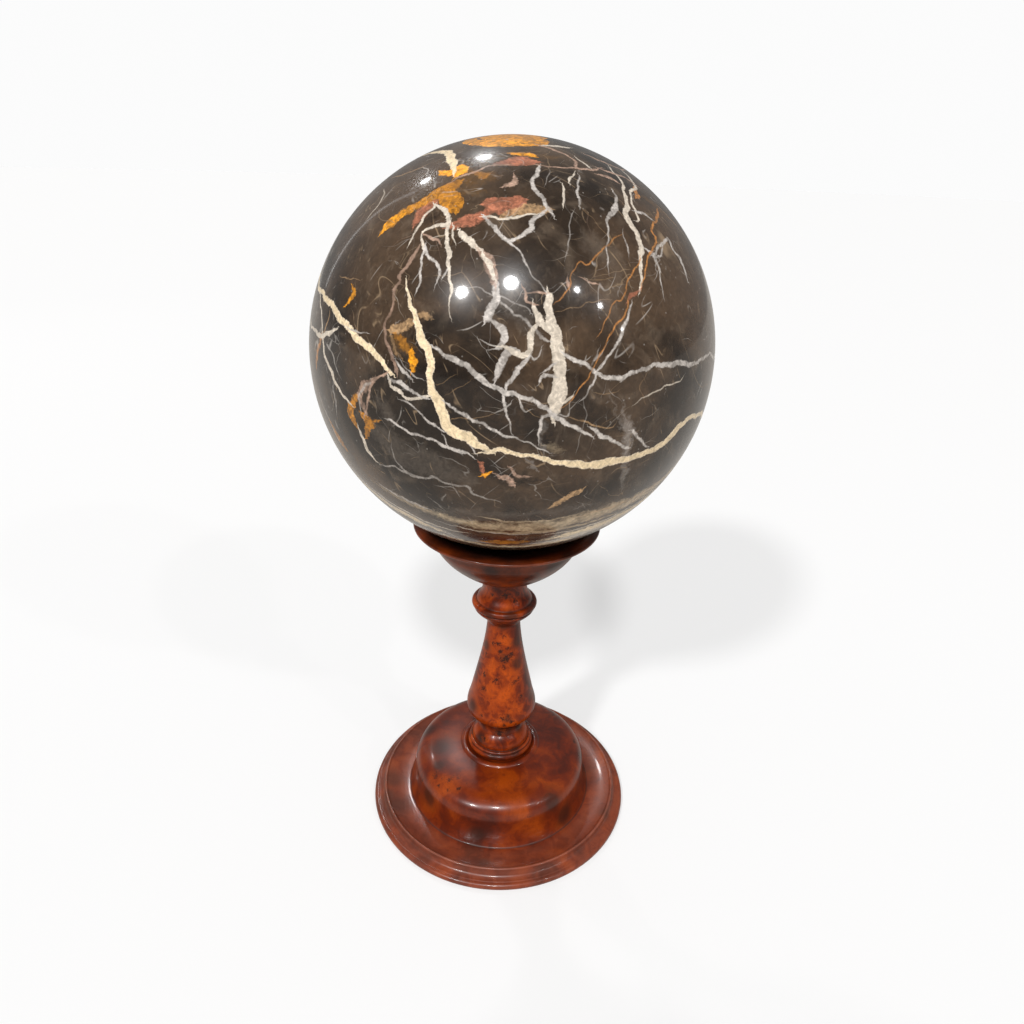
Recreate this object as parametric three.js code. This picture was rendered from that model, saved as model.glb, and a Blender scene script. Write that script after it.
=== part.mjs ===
// A polished marble ball lying in the cup of a turned burr-wood stand.
// Millimetres, +Z up. The origin is the centre of the foot's underside, on the surface it stands on.
// The stand is three turned pieces: foot, stem and cup. The ball only rests in the cup.

import * as THREE from "three";

// ---------------------------------------------------------------- driving dimensions

const BALL_RADIUS = 100;
const BALL_UNDERSIDE = 194.2; // height of the ball's lowest point
const STEM_FOOT_JOINT = 38.9; // height of the socket floor in the foot
const CUP_STEM_JOINT = 163.6; // height of the stem's flat top
const JOINT_GAP = 0.3; // clearance between two pieces that touch

const FOOT_RADIUS = 82.7;
const DOME_BASE_RADIUS = 59;
const BELLY_RADIUS = 21.7; // the baluster's widest part
const COLLAR_RADIUS = 19.3;
const CUP_RADIUS = 52.5;

const TURNED_SIDES = 36; // flats round each turned piece
const BALL_SIDES = 48;
const BALL_BANDS = 24;

// ---------------------------------------------------------------- outline helpers

// Points of an arc about (r, z), between two angles in degrees; 0 points away from the axis, 90 up.
function arc(r, z, radius, from, to, steps) {
  return Array.from({ length: steps + 1 }, (_, i) => {
    const angle = THREE.MathUtils.degToRad(from + ((to - from) * i) / steps);
    return [r + radius * Math.cos(angle), z + radius * Math.sin(angle)];
  });
}

// Points of a cubic curve from start to end, pulled towards its two handles.
function curve(start, handleA, handleB, end, steps) {
  const corners = [start, handleA, handleB, end].map(([r, z]) => new THREE.Vector2(r, z));
  return new THREE.CubicBezierCurve(...corners).getPoints(steps).map((p) => [p.x, p.y]);
}

// One outline from several stretches, without the points that two stretches share.
function outline(...stretches) {
  const points = stretches.flat();
  return points.filter(([r, z], i) => i === 0 || Math.hypot(r - points[i - 1][0], z - points[i - 1][1]) > 1e-6);
}

// A solid turned about the Z axis. The outline runs up the outside, from the axis back to the axis.
function turned(name, points, material) {
  const geometry = new THREE.LatheGeometry(points.map(([r, z]) => new THREE.Vector2(r, z)), TURNED_SIDES);
  geometry.rotateX(Math.PI / 2);
  const mesh = new THREE.Mesh(geometry, material);
  mesh.name = name;
  return mesh;
}

// ---------------------------------------------------------------- foot

// The moulded edge: a bead on the floor, a cove, a riser with a fine bead on its edge.
function footEdge() {
  const bead = 2.2;
  const beadRadius = FOOT_RADIUS - bead;
  const beadHeight = 1.7;
  const floorAngle = THREE.MathUtils.radToDeg(Math.asin(-beadHeight / bead));
  const riserRadius = FOOT_RADIUS - 6.4;
  const fineBead = 0.8;
  return outline(
    [[0, 0]],
    arc(beadRadius, beadHeight, bead, floorAngle, 100, 6),
    curve([beadRadius - 0.6, 4.2], [77.8, 4.6], [76.6, 5.4], [riserRadius, 6.6], 3),
    arc(riserRadius - 1.2, 9, fineBead, -10, 150, 4),
  );
}

// The dished ring between the edge and the dome.
function footDish() {
  return curve([74.1, 9.1], [70, 7.6], [65, 6.7], [DOME_BASE_RADIUS, 7], 4);
}

// The dome: a steep flank, a round shoulder and a nearly flat top.
function footDome() {
  const shoulder = [55.2, 23.5];
  const top = [43, 36.2];
  return outline(
    curve([DOME_BASE_RADIUS, 7], [55.8, 12], [55.3, 18.5], shoulder, 3),
    curve(shoulder, [55, 31.5], [50.5, 34.8], top, 5),
    curve(top, [36, 37.5], [30, 37.8], [25.4, 38.6], 2),
  );
}

// The soft ring round the socket, and the socket's flat floor.
function footSocket() {
  return outline(
    curve([25.4, 38.6], [24.6, 39.9], [22.4, 40.3], [21.3, STEM_FOOT_JOINT], 3),
    [[0, STEM_FOOT_JOINT]],
  );
}

function foot() {
  const material = new THREE.MeshStandardMaterial({ color: 0x5e2414, roughness: 0.28, metalness: 0 });
  return turned("stand_foot", outline(footEdge(), footDish(), footDome(), footSocket()), material);
}

// ---------------------------------------------------------------- stem

// Two beads and a cushion, drawn in to a small neck.
function stemBase() {
  const lowerBead = 1.9;
  const upperBead = 1;
  const base = STEM_FOOT_JOINT + JOINT_GAP;
  return outline(
    [[0, base]],
    arc(18.8, base + lowerBead, lowerBead, -90, 75, 4),
    arc(18.6, 43.9, upperBead, -40, 110, 3),
    curve([17.9, 44.9], [18.3, 48.6], [15.9, 51.8], [14, 53.6], 4),
    curve([14, 53.6], [12.8, 55.4], [12.7, 60], [14, 62.6], 3),
  );
}

// The baluster: a round underside, the belly, and a long taper up to the collar.
function baluster() {
  const belly = [BELLY_RADIUS, 71.8];
  const shoulder = [19.4, 82];
  return outline(
    curve([14, 62.6], [17, 64.6], [21.6, 64.8], belly, 4),
    curve(belly, [21.7, 75.2], [20.2, 78.6], shoulder, 2),
    curve(shoulder, [16.4, 96], [10.9, 116], [9.85, 133.5], 6),
  );
}

// The collar: a sloped underside with a fine bead, the rim bead, a cushion and the neck under the cup.
function stemCollar() {
  const rimBead = 1.9;
  const fineBead = 1.1;
  return outline(
    curve([9.85, 133.5], [10.6, 136.6], [15.4, 139.4], [17.4, 142.4], 4),
    arc(16.8, 143.3, fineBead, -30, 60, 2),
    arc(COLLAR_RADIUS - rimBead, 146.5, rimBead, -60, 100, 5),
    curve([16.4, 148.8], [16, 151.6], [13.3, 153], [13.1, 156.8], 3),
    curve([13.1, 156.8], [13.1, 159.6], [13.7, 161.6], [14, CUP_STEM_JOINT], 2),
    [[0, CUP_STEM_JOINT]],
  );
}

function stem() {
  const material = new THREE.MeshStandardMaterial({ color: 0x8a3f1a, roughness: 0.3, metalness: 0 });
  return turned("stand_stem", outline(stemBase(), baluster(), stemCollar()), material);
}

// ---------------------------------------------------------------- cup

const BALL_CENTRE = BALL_UNDERSIDE + BALL_RADIUS;

// Outside of the bowl, from the joint up to the cove under the lip.
function cupBowl() {
  const base = CUP_STEM_JOINT + JOINT_GAP;
  return outline(
    [[0, base]],
    curve([15.2, base], [25, 170], [37.5, 178.5], [41.3, 188.5], 6),
    curve([41.3, 188.5], [42.4, 192.6], [43.2, 197.8], [CUP_RADIUS - 1, 198.4], 4),
  );
}

// The lip: a thin round edge, then a gentle roll inwards to the seat.
function cupLip(seatEdge) {
  const [edgeRadius, edgeHeight] = seatEdge;
  return outline(
    arc(CUP_RADIUS - 0.9, 199.4, 0.9, -60, 80, 3),
    curve([CUP_RADIUS - 0.8, 200.3], [48.4, 202.3], [edgeRadius + 7, edgeHeight + 2.1], seatEdge, 5),
  );
}

// The seat is hollowed to the ball's own curve, a joint gap away from it.
function cup() {
  const seatRadius = BALL_RADIUS + JOINT_GAP;
  const seatHalfAngle = 17.5;
  const seat = arc(0, BALL_CENTRE, seatRadius, -90 + seatHalfAngle, -90, 4);
  seat[seat.length - 1][0] = 0;
  const material = new THREE.MeshStandardMaterial({ color: 0x6b3420, roughness: 0.3, metalness: 0 });
  return turned("stand_cup", outline(cupBowl(), cupLip(seat[0]), seat), material);
}

// ---------------------------------------------------------------- ball

function ball() {
  const geometry = new THREE.SphereGeometry(BALL_RADIUS, BALL_SIDES, BALL_BANDS);
  geometry.rotateX(Math.PI / 2);
  const material = new THREE.MeshStandardMaterial({ color: 0x4a3c33, roughness: 0.08, metalness: 0 });
  const mesh = new THREE.Mesh(geometry, material);
  mesh.name = "marble_sphere";
  mesh.position.z = BALL_CENTRE;
  return mesh;
}

const model = new THREE.Group();
model.name = "decorative_sphere";
model.add(foot(), stem(), cup(), ball());

export default model;
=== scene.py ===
"""A polished marble ball lying in the cup of a turned burr-wood stand, lit in a plain studio.

Everything is in metres in the row frame: +Z up, the origin under the middle of the foot. Sizes that belong
to the turner's bench or to the stone are in millimetres, and are turned to metres where a mesh is made.
"""

import logging
from collections.abc import Sequence
from dataclasses import dataclass, field
from enum import Enum
from math import atan2, ceil, cos, hypot, pi, radians, sin

import bpy
import numpy as np
from mathutils import Matrix, Vector


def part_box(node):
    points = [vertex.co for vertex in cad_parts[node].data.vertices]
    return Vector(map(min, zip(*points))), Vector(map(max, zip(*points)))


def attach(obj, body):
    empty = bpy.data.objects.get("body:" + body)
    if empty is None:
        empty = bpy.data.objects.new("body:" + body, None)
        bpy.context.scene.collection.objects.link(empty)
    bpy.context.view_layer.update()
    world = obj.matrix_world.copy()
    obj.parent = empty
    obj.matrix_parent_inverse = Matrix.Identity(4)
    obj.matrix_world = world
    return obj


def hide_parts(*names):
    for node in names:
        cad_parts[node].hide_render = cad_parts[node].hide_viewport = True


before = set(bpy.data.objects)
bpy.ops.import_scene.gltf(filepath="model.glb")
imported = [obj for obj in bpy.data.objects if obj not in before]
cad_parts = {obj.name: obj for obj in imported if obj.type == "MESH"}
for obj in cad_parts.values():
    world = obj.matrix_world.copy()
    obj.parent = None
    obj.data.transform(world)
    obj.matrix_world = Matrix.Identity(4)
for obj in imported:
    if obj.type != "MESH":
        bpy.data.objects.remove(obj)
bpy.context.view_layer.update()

log = logging.getLogger("ball_on_stand")

MM = 0.001
Colour = tuple[float, float, float]
Point = tuple[float, float]


# ------------------------------------------------------------------------------ shader arithmetic


class Number:
    """A number socket that takes part in arithmetic; each operation adds one Math node."""

    def __init__(self, shader: "Shader", socket: bpy.types.NodeSocket) -> None:
        """Keeps the socket and the shader that its next nodes go into."""
        self.shader = shader
        self.socket = socket

    def _with(self, operation: str, *terms: "Number | float") -> "Number":
        """The result of one Math node over these terms."""
        return self.shader.maths(operation, *terms)

    def __add__(self, other: "Number | float") -> "Number":
        """self + other."""
        return self._with("ADD", self, other)

    def __sub__(self, other: "Number | float") -> "Number":
        """self - other."""
        return self._with("SUBTRACT", self, other)

    def __rsub__(self, other: float) -> "Number":
        """other - self."""
        return self._with("SUBTRACT", other, self)

    def __mul__(self, other: "Number | float") -> "Number":
        """self * other."""
        return self._with("MULTIPLY", self, other)

    def __truediv__(self, other: "Number | float") -> "Number":
        """self / other."""
        return self._with("DIVIDE", self, other)

    def __abs__(self) -> "Number":
        """The size of self, without its sign."""
        return self._with("ABSOLUTE", self)

    __radd__ = __add__
    __rmul__ = __mul__

    def above(self, low: float, high: float) -> "Number":
        """0 below low, 1 above high, and a smooth step between them."""
        settings = {"interpolation_type": "SMOOTHSTEP"}
        inputs = {"Value": self, "From Min": low, "From Max": high}
        return self.shader.number("ShaderNodeMapRange", settings, inputs)

    def clamped(self) -> "Number":
        """self held between 0 and 1."""
        return self.shader.number("ShaderNodeClamp", {}, {"Value": self})


class Shader:
    """One material's nodes, built on the piece's own Object coordinates."""

    def __init__(self, name: str) -> None:
        """Starts an empty material with its Principled shader and output.

        Args:
            name: the material's name.
        """
        self.material = bpy.data.materials.new(name)
        self.material.use_nodes = True
        self.tree = self.material.node_tree
        self.tree.nodes.clear()
        self.surface = self.node("ShaderNodeBsdfPrincipled")
        output = self.node("ShaderNodeOutputMaterial")
        self.tree.links.new(self.surface.outputs["BSDF"], output.inputs["Surface"])
        self.place = self.node("ShaderNodeTexCoord").outputs["Object"]

    def node(self, kind: str, settings: dict | None = None, inputs: dict | None = None) -> bpy.types.Node:
        """Adds a node.

        Args:
            kind: the node's type.
            settings: its properties, set before its sockets.
            inputs: values or links by socket name or number.

        Returns:
            The node.
        """
        node = self.tree.nodes.new(kind)
        for key, value in (settings or {}).items():
            setattr(node, key, value)
        for key, value in (inputs or {}).items():
            self.feed(node.inputs[key], value)
        return node

    def feed(self, socket: bpy.types.NodeSocket, value: object) -> None:
        """Links a Number or a socket to this socket, or sets it to a plain value."""
        source = value.socket if isinstance(value, Number) else value
        if isinstance(source, bpy.types.NodeSocket):
            self.tree.links.new(source, socket)
        elif isinstance(source, tuple) and len(source) == 3 and socket.type == "RGBA":
            socket.default_value = (*source, 1.0)
        else:
            socket.default_value = source

    def number(self, kind: str, settings: dict, inputs: dict, output: str | int = 0) -> Number:
        """Adds a node and gives one of its outputs as a Number."""
        return Number(self, self.node(kind, settings, inputs).outputs[output])

    def maths(self, operation: str, *terms: Number | float) -> Number:
        """One Math node over one or two terms."""
        return self.number("ShaderNodeMath", {"operation": operation}, dict(enumerate(terms)))

    def noise(self, scale: float, detail: float = 3.0, warp: float = 0.0, at: object = None) -> Number:
        """Cloudy noise about 0.5.

        Args:
            scale: cells to the metre.
            detail: how many finer octaves lie on it.
            warp: how far it is pulled about by itself.
            at: the coordinates, or None for the piece's own.

        Returns:
            The noise as a number from 0 to 1.
        """
        inputs = {"Vector": at or self.place, "Scale": scale, "Detail": detail, "Distortion": warp}
        return self.number("ShaderNodeTexNoise", {}, inputs)

    def shifted(self, scale: float, reach: float, at: object = None) -> bpy.types.NodeSocket:
        """The piece's coordinates pushed about by coloured noise.

        Args:
            scale: cells of the noise to the metre.
            reach: how far a point may be pushed, in metres.
            at: the coordinates to push, or None for the piece's own.

        Returns:
            A vector socket.
        """
        base = at or self.place
        settings = {"normalize": False}
        push = self.node("ShaderNodeTexNoise", settings, {"Vector": base, "Scale": scale, "Detail": 3.0})
        scaled = self.vector("SCALE", push.outputs["Color"], Scale=reach)
        return self.vector("ADD", base, scaled)

    def leaning(self, lean: float, stretch: float) -> bpy.types.NodeSocket:
        """The piece's coordinates with everything drawn out along a line that leans in the front's plane.

        Args:
            lean: the line's angle from the upright, in radians.
            stretch: how many times longer things are along it.

        Returns:
            A vector socket.
        """
        inputs = {"Vector": self.place, "Rotation": Vector((0, lean, 0)), "Scale": Vector((1, 1, stretch))}
        return self.node("ShaderNodeMapping", {"vector_type": "TEXTURE"}, inputs).outputs["Vector"]

    def vector(
        self, operation: str, first: object, second: object = None, **named: float
    ) -> bpy.types.NodeSocket:
        """One Vector Math node's vector."""
        inputs: dict = {0: first, **named}
        if second is not None:
            inputs[1] = second
        return self.node("ShaderNodeVectorMath", {"operation": operation}, inputs).outputs["Vector"]

    def mix(self, factor: Number | float, first: object, second: object) -> bpy.types.NodeSocket:
        """first and second mixed as colours by factor.

        Args:
            factor: 0 for first, 1 for second.
            first: a colour or a colour socket.
            second: a colour or a colour socket.

        Returns:
            A colour socket.
        """
        settings = {"data_type": "RGBA", "clamp_factor": True}
        return self.node("ShaderNodeMix", settings, {0: factor, 6: first, 7: second}).outputs[2]

    def shade(self, colour: object, amount: Number) -> bpy.types.NodeSocket:
        """A colour made lighter or darker by multiplying it by a number."""
        return self.vector("SCALE", colour, Scale=amount)

    def attribute(self, name: str) -> bpy.types.Node:
        """The node that reads one of the mesh's own attributes."""
        return self.node("ShaderNodeAttribute", {"attribute_name": name})

    def finish(self, colour: object, roughness: Number, **constants: float) -> bpy.types.Material:
        """Feeds the Principled shader.

        Args:
            colour: base colour socket.
            roughness: roughness over the surface.
            constants: sockets that are the same all over, with spaces as underscores.

        Returns:
            The material.
        """
        self.feed(self.surface.inputs["Base Color"], colour)
        self.feed(self.surface.inputs["Roughness"], roughness)
        for name, value in constants.items():
            self.feed(self.surface.inputs[name.replace("_", " ")], value)
        return self.material

    def bump(self, height: Number, depth: float) -> None:
        """Raises the surface by height times depth, in metres, in its shading only."""
        inputs = {"Height": height, "Distance": depth, "Strength": 1.0}
        node = self.node("ShaderNodeBump", {}, inputs)
        self.feed(self.surface.inputs["Normal"], node.outputs["Normal"])


# ------------------------------------------------------------------------------ meshes


@dataclass
class Skin:
    """A closed surface as whole arrays, ready to become a mesh.

    Attributes:
        points: places of the vertices, in metres, one row each.
        corners: vertex number at each face corner, face after face.
        sides: how many corners each face has.
        flat: place of each corner on the flattened skin, 0 to 1 both ways.
    """

    points: np.ndarray
    corners: np.ndarray
    sides: np.ndarray
    flat: np.ndarray

    def build(self, name: str) -> bpy.types.Object:
        """Puts the arrays into a smooth-shaded mesh object at the origin."""
        mesh = bpy.data.meshes.new(name)
        mesh.vertices.add(len(self.points))
        mesh.vertices.foreach_set("co", self.points.astype(np.float32).ravel())
        mesh.loops.add(len(self.corners))
        mesh.loops.foreach_set("vertex_index", self.corners.astype(np.int32))
        mesh.polygons.add(len(self.sides))
        starts = np.concatenate([[0], np.cumsum(self.sides)[:-1]])
        mesh.polygons.foreach_set("loop_start", starts.astype(np.int32))
        mesh.update(calc_edges=True)
        mesh.validate()
        mesh.shade_smooth()
        layer = mesh.uv_layers.new(name="OFBake")
        layer.data.foreach_set("uv", self.flat.astype(np.float32).ravel())
        piece = bpy.data.objects.new(name, mesh)
        bpy.context.scene.collection.objects.link(piece)
        return piece


def store(piece: bpy.types.Object, name: str, values: np.ndarray) -> None:
    """Writes one value, vector or colour for each vertex as an attribute.

    Args:
        piece: the mesh object.
        name: the attribute's name.
        values: an array of one, three or four columns.
    """
    columns = 1 if values.ndim == 1 else values.shape[1]
    kind, slot = {1: ("FLOAT", "value"), 3: ("FLOAT_VECTOR", "vector"), 4: ("FLOAT_COLOR", "color")}[columns]
    attribute = piece.data.attributes.new(name, kind, "POINT")
    attribute.data.foreach_set(slot, values.astype(np.float32).ravel())


def smooth(low: float | np.ndarray, high: float | np.ndarray, values: np.ndarray) -> np.ndarray:
    """0 below low, 1 above high, and t*t*(3 - 2t) between them."""
    t = np.clip((values - low) / (high - low), 0, 1)
    return t * t * (3 - 2 * t)


def settle(piece: bpy.types.Object, node: str, material: bpy.types.Material) -> None:
    """Dresses a finished piece, sets it on the one body and puts it in its CAD node's place.

    Args:
        piece: the mesh object.
        node: the CAD node that it stands for.
        material: its finish.
    """
    piece.data.materials.append(material)
    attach(piece, "root")
    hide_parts(node)
    log.info("%s: %d vertices, for %s", piece.name, len(piece.data.vertices), node)


# ------------------------------------------------------------------------------ marble: its veins


class Tone(Enum):
    """The stone's colours, as linear red, green and blue."""

    CREAM = (0.88, 0.70, 0.45)
    IVORY = (0.70, 0.61, 0.50)
    ASH = (0.57, 0.52, 0.475)
    SMOKE = (0.19, 0.155, 0.125)
    BEIGE = (0.62, 0.48, 0.31)
    TAN = (0.47, 0.29, 0.145)
    RUST = (0.55, 0.23, 0.06)
    OCHRE = (0.50, 0.20, 0.016)
    AMBER = (0.90, 0.36, 0.015)
    SALMON = (0.40, 0.145, 0.080)
    ROSE = (0.46, 0.30, 0.22)
    UMBER = (0.125, 0.062, 0.018)
    PITCH = (0.008, 0.0042, 0.002)


@dataclass(frozen=True)
class Vein:
    """A vein or patch drawn on the ball.

    Attributes:
        tone: its colour.
        course: longitude and latitude in degrees, and half the width in mm, from point to point. Longitude 0
            faces the front and grows to the right.
        cover: how much of the ground it hides, 0 to 1.
    """

    tone: Tone
    course: tuple[tuple[float, float, float], ...]
    cover: float = 1.0


def vein(tone: Tone, *course: tuple[float, float, float], cover: float = 1.0) -> Vein:
    """A vein through these points."""
    return Vein(tone, course, cover)


PATCHES: tuple[Vein, ...] = (
    # near-black patches: the stone's dark ground, deepened as painted shade where the polish shows a dark
    # reflection
    vein(Tone.PITCH, (-16, 9, 5), (-8, 5, 8), (0, 2, 6), (6, -3, 7), cover=0.75),
    vein(Tone.PITCH, (-24, -1, 3), (-12, -1, 4), (-2, -4, 6), (8, -7, 4), cover=0.7),
    vein(Tone.PITCH, (14, 9, 4), (17, 2, 6), (24, -3, 6), cover=0.65),
    vein(Tone.PITCH, (34, 7, 5), (42, 0, 6), (47, 4, 5), cover=0.45),
    vein(Tone.PITCH, (3, 45, 4), (6, 42, 4), cover=0.5),
    vein(Tone.PITCH, (4, 57, 5), (14, 58, 4), cover=0.6),
    vein(Tone.PITCH, (-27, 43.5, 4), (-24.5, 44, 2), cover=0.8),
    vein(Tone.PITCH, (-60, -2, 4), (-56, -10, 6), (-52, -18, 6), (-46, -24, 4), cover=0.6),
    vein(Tone.PITCH, (-7, -12, 4), (-3, -15, 5), (3, -16.5, 5), (6, -17, 3), cover=0.85),
    vein(Tone.PITCH, (19, 24, 5), (22, 17, 6), (26, 12, 5), cover=0.45),
    vein(Tone.PITCH, (-7, 18, 5), (-4, 13, 5), (-6, 9, 4), cover=0.5),
    # smoky paler ground
    vein(Tone.SMOKE, (-34, -8, 5), (-27, -13, 8), (-17, -15, 7), (-10, -18, 4), cover=0.28),
    vein(Tone.PITCH, (14, -18, 5), (24, -21, 6), (38, -20, 6), cover=0.4),
    vein(Tone.SMOKE, (-3, 25, 4), (3, 21, 4), (6, 15, 3), cover=0.35),
    vein(Tone.SMOKE, (-32, 0, 3), (-30, -4, 4), cover=0.3),
    vein(Tone.SMOKE, (22, 38, 6), (28, 32, 5), (26, 26, 4), cover=0.2),
    # brown glassy patches
    vein(Tone.UMBER, (-24, 57.5, 4), (-18, 56, 6), (-13, 56.5, 5), cover=0.9),
    vein(Tone.UMBER, (-21, 52, 3), (-15, 51.5, 3.5), cover=0.8),
    vein(Tone.UMBER, (14, 66, 2.5), (20, 66, 3), (26, 66, 2), cover=0.8),
    vein(Tone.UMBER, (58, 50, 3), (64, 45, 3), cover=0.8),
    vein(Tone.UMBER, (-27.5, 13.8, 3.4), (-24.8, 13.2, 3.6), cover=0.9),
    vein(Tone.UMBER, (-48, -20, 3), (-44, -26, 3.5), cover=0.7),
    # pale bands under the belly
    vein(Tone.BEIGE, (-44, -27, 1), (-34, -30, 2), (-24, -32.5, 3), (-12, -35, 4), (0, -35.5, 4.5),
         (12, -35, 5), (24, -33, 5), (36, -31, 5), (50, -29, 5), (66, -24, 4), (82, -20, 2), cover=0.85),
    vein(Tone.ASH, (-62, -22, 2), (-52, -32, 3), (-40, -38, 4), (-28, -42, 4), (-20, -46, 2), cover=0.6),
    vein(Tone.IVORY, (10, -49, 1), (20, -46.5, 3), (32, -43.5, 4), (46, -40, 4), (60, -34, 3), cover=0.9),
    vein(Tone.SMOKE, (-30, -34, 3), (-14, -30, 3), (6, -29, 3), (22, -27, 3), cover=0.35),
    vein(Tone.CREAM, (-74, -26, 1.5), (-60, -31, 2.4), (-48, -36, 3), (-36, -40, 3.4), (-26, -43.5, 2.4),
         cover=0.85),
    vein(Tone.CREAM, (-26, -47.6, 1.4), (-12, -50, 2.2), (0, -50.8, 2.4), (12, -50, 2.4), (26, -47.4, 2.2),
         cover=0.9),
    vein(Tone.CREAM, (10, -45, 1), (22, -43, 3), (36, -40, 4), (50, -36, 3.6), (66, -31, 2.4), cover=0.95),
    vein(Tone.PITCH, (-17, -44, 2.5), (-9, -44.5, 5), (0, -45, 5.5), (9, -44.5, 4.5), (15, -43.5, 2),
         cover=0.95),
    # soft grey column on the right
    vein(Tone.ASH, (26.5, 2, 0.8), (27.7, -1, 2.2), (29, -4.5, 2.8), (29.8, -8, 3.2), (30.2, -12, 2.4),
         (31.4, -17, 2.2), (33, -23, 1.2), cover=0.42),
    vein(Tone.ASH, (23, 3.5, 0.8), (25, 0, 1), (27.5, -4.5, 1.4), cover=0.4),
    vein(Tone.ASH, (4.3, -11.4, 1.2), (6.2, -13.2, 1.5), cover=0.55),
    vein(Tone.ASH, (7.5, -1.5, 1.4), (7.2, -5, 1.6), (8, -8, 1.8), cover=0.35),
    vein(Tone.BEIGE, (9, -7.5, 2), (12, -8, 1.6), cover=0.4),
)

STAINS: tuple[Vein, ...] = (
    # ochre cap and band on top
    vein(Tone.AMBER, (-62, 76, 2), (-44, 73.5, 3), (-24, 73.5, 4), (-4, 74, 4.6), (14, 74.6, 3.6),
         (27, 76, 2)),
    vein(Tone.AMBER, (-56, 78.6, 2.2), (-24, 78.4, 4), (6, 79, 4.2), (36, 80.4, 2.2)),
    vein(Tone.AMBER, (-84, 83, 2), (-40, 83, 3.6), (30, 84.4, 3.2), (120, 84, 1.6)),
    vein(Tone.AMBER, (-3.5, 66.9, 0.9), (2.5, 66.7, 1.4), (8, 66, 1.2)),
    vein(Tone.SALMON, (-9, 62.3, 1.2), (-2, 63.2, 2.8), (4.5, 63, 3), (8.8, 62.8, 1.4)),
    vein(Tone.AMBER, (-35, 57.6, 1.2), (-30.5, 57.4, 2), (-27.4, 59.8, 1.8), (-25.6, 58, 2), (-26, 56, 1)),
    vein(Tone.AMBER, (-43.4, 38.2, 1), (-42, 40.8, 2.3), (-39.4, 43.2, 2), (-36.4, 45, 1.8)),
    vein(Tone.OCHRE, (-36.8, 44.8, 1.9), (-33.5, 47, 2.2), (-29.5, 49.3, 2.8), (-26, 51.3, 3.6),
         (-24.3, 54, 1.8)),
    vein(Tone.OCHRE, (-25.5, 49.5, 3.2), (-22.6, 48, 4), (-20.6, 46.5, 2.6)),
    vein(Tone.SALMON, (-31.6, 41.2, 1.2), (-31.6, 44, 2.3), (-29.4, 47, 1.8), cover=0.85),
    vein(Tone.SALMON, (-20, 41.2, 1.1), (-16.5, 42.4, 2), (-13, 43, 2.2), (-10.2, 44.6, 1.8),
         (-9.2, 46.4, 1.4)),
    vein(Tone.SALMON, (-9.6, 48, 1.8), (-6.4, 48, 3.2), (-3, 47.5, 3.6), (0.5, 48.6, 2.6), cover=0.95),
    vein(Tone.TAN, (-4.5, 44.8, 1), (1, 46, 1.8), (5, 47.2, 2), (9.5, 46.8, 1.6), cover=0.75),
    vein(Tone.ROSE, (-4.4, 53.4, 0.8), (-2.4, 54.6, 1.4), (-1.4, 57, 0.8)),
    vein(Tone.OCHRE, (-18, 57.6, 1.2), (-14.5, 56.5, 1.8), (-12.5, 57.8, 0.9), cover=0.5),
    # left of the big cream vein
    vein(Tone.TAN, (-29.6, 16.4, 1.2), (-27, 17.4, 1.8), (-24.4, 18.4, 1.2), cover=0.8),
    vein(Tone.TAN, (-29.2, 15, 0.6), (-28.2, 12.2, 0.8), (-26.4, 10.4, 0.5), cover=0.45),
    vein(Tone.OCHRE, (-28, 15.4, 1), (-26, 14, 1.6), (-24.6, 12.4, 1.2), cover=0.5),
    vein(Tone.AMBER, (-23.6, 12, 1), (-23.2, 10, 1.8), (-23.3, 8.6, 1)),
    vein(Tone.TAN, (-22.4, 20.4, 0.8), (-20.4, 20.4, 1.1), cover=0.7),
    vein(Tone.AMBER, (-45.8, 23.8, 0.9), (-44.9, 22.6, 1.1), (-45.8, 21, 1), (-47.4, 19.8, 0.6)),
    vein(Tone.OCHRE, (-40, -0.8, 0.9), (-42, -3.4, 1.6), (-44, -5.6, 1.4), (-42.6, -7.4, 1.5),
         (-41.2, -9.2, 0.8)),
    vein(Tone.OCHRE, (-38.6, -5.2, 1.1), (-36.4, -6.8, 1.8), (-37.6, -8.6, 1.3), (-38.8, -11, 0.9)),
    vein(Tone.OCHRE, (-36.6, -6.4, 0.8), (-33, -5.2, 0.5)),
    vein(Tone.ROSE, (-34.4, 4.4, 0.8), (-37, 2.2, 1.8), (-38.6, -0.6, 1.6), (-37.6, -4, 1.2), cover=0.7),
    vein(Tone.OCHRE, (-57, -12, 0.8), (-55, -15.5, 1.8), (-52, -18.6, 1.2), cover=0.8),
    vein(Tone.RUST, (-58.2, 9.6, 1), (-60.2, 5.6, 1.1), (-61.5, 1.6, 0.8), cover=0.8),
    # low front
    vein(Tone.SALMON, (-6.9, -12.8, 0.9), (-6.2, -14.2, 1.2)),
    vein(Tone.AMBER, (-5.8, -15.2, 1.3), (-5, -15, 0.9), cover=0.9),
    vein(Tone.ROSE, (-2.8, -15.2, 0.7), (-0.6, -16.6, 1.5), (0.8, -18, 1.3)),
    vein(Tone.ROSE, (0.4, -13.6, 0.5), (2, -15.4, 0.9), (4.6, -15.8, 0.6)),
    vein(Tone.TAN, (11.6, -26.6, 0.5), (13.6, -25.2, 1), (16.6, -23, 1.4), (19.6, -20.8, 0.9)),
    vein(Tone.OCHRE, (-10, -46.6, 1), (-2, -46.2, 2.6), (7, -45.4, 1.6), cover=0.8),
    vein(Tone.RUST, (55.6, 53.2, 1), (53.4, 51, 1.4), (51.5, 50.2, 0.7)),
)

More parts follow.
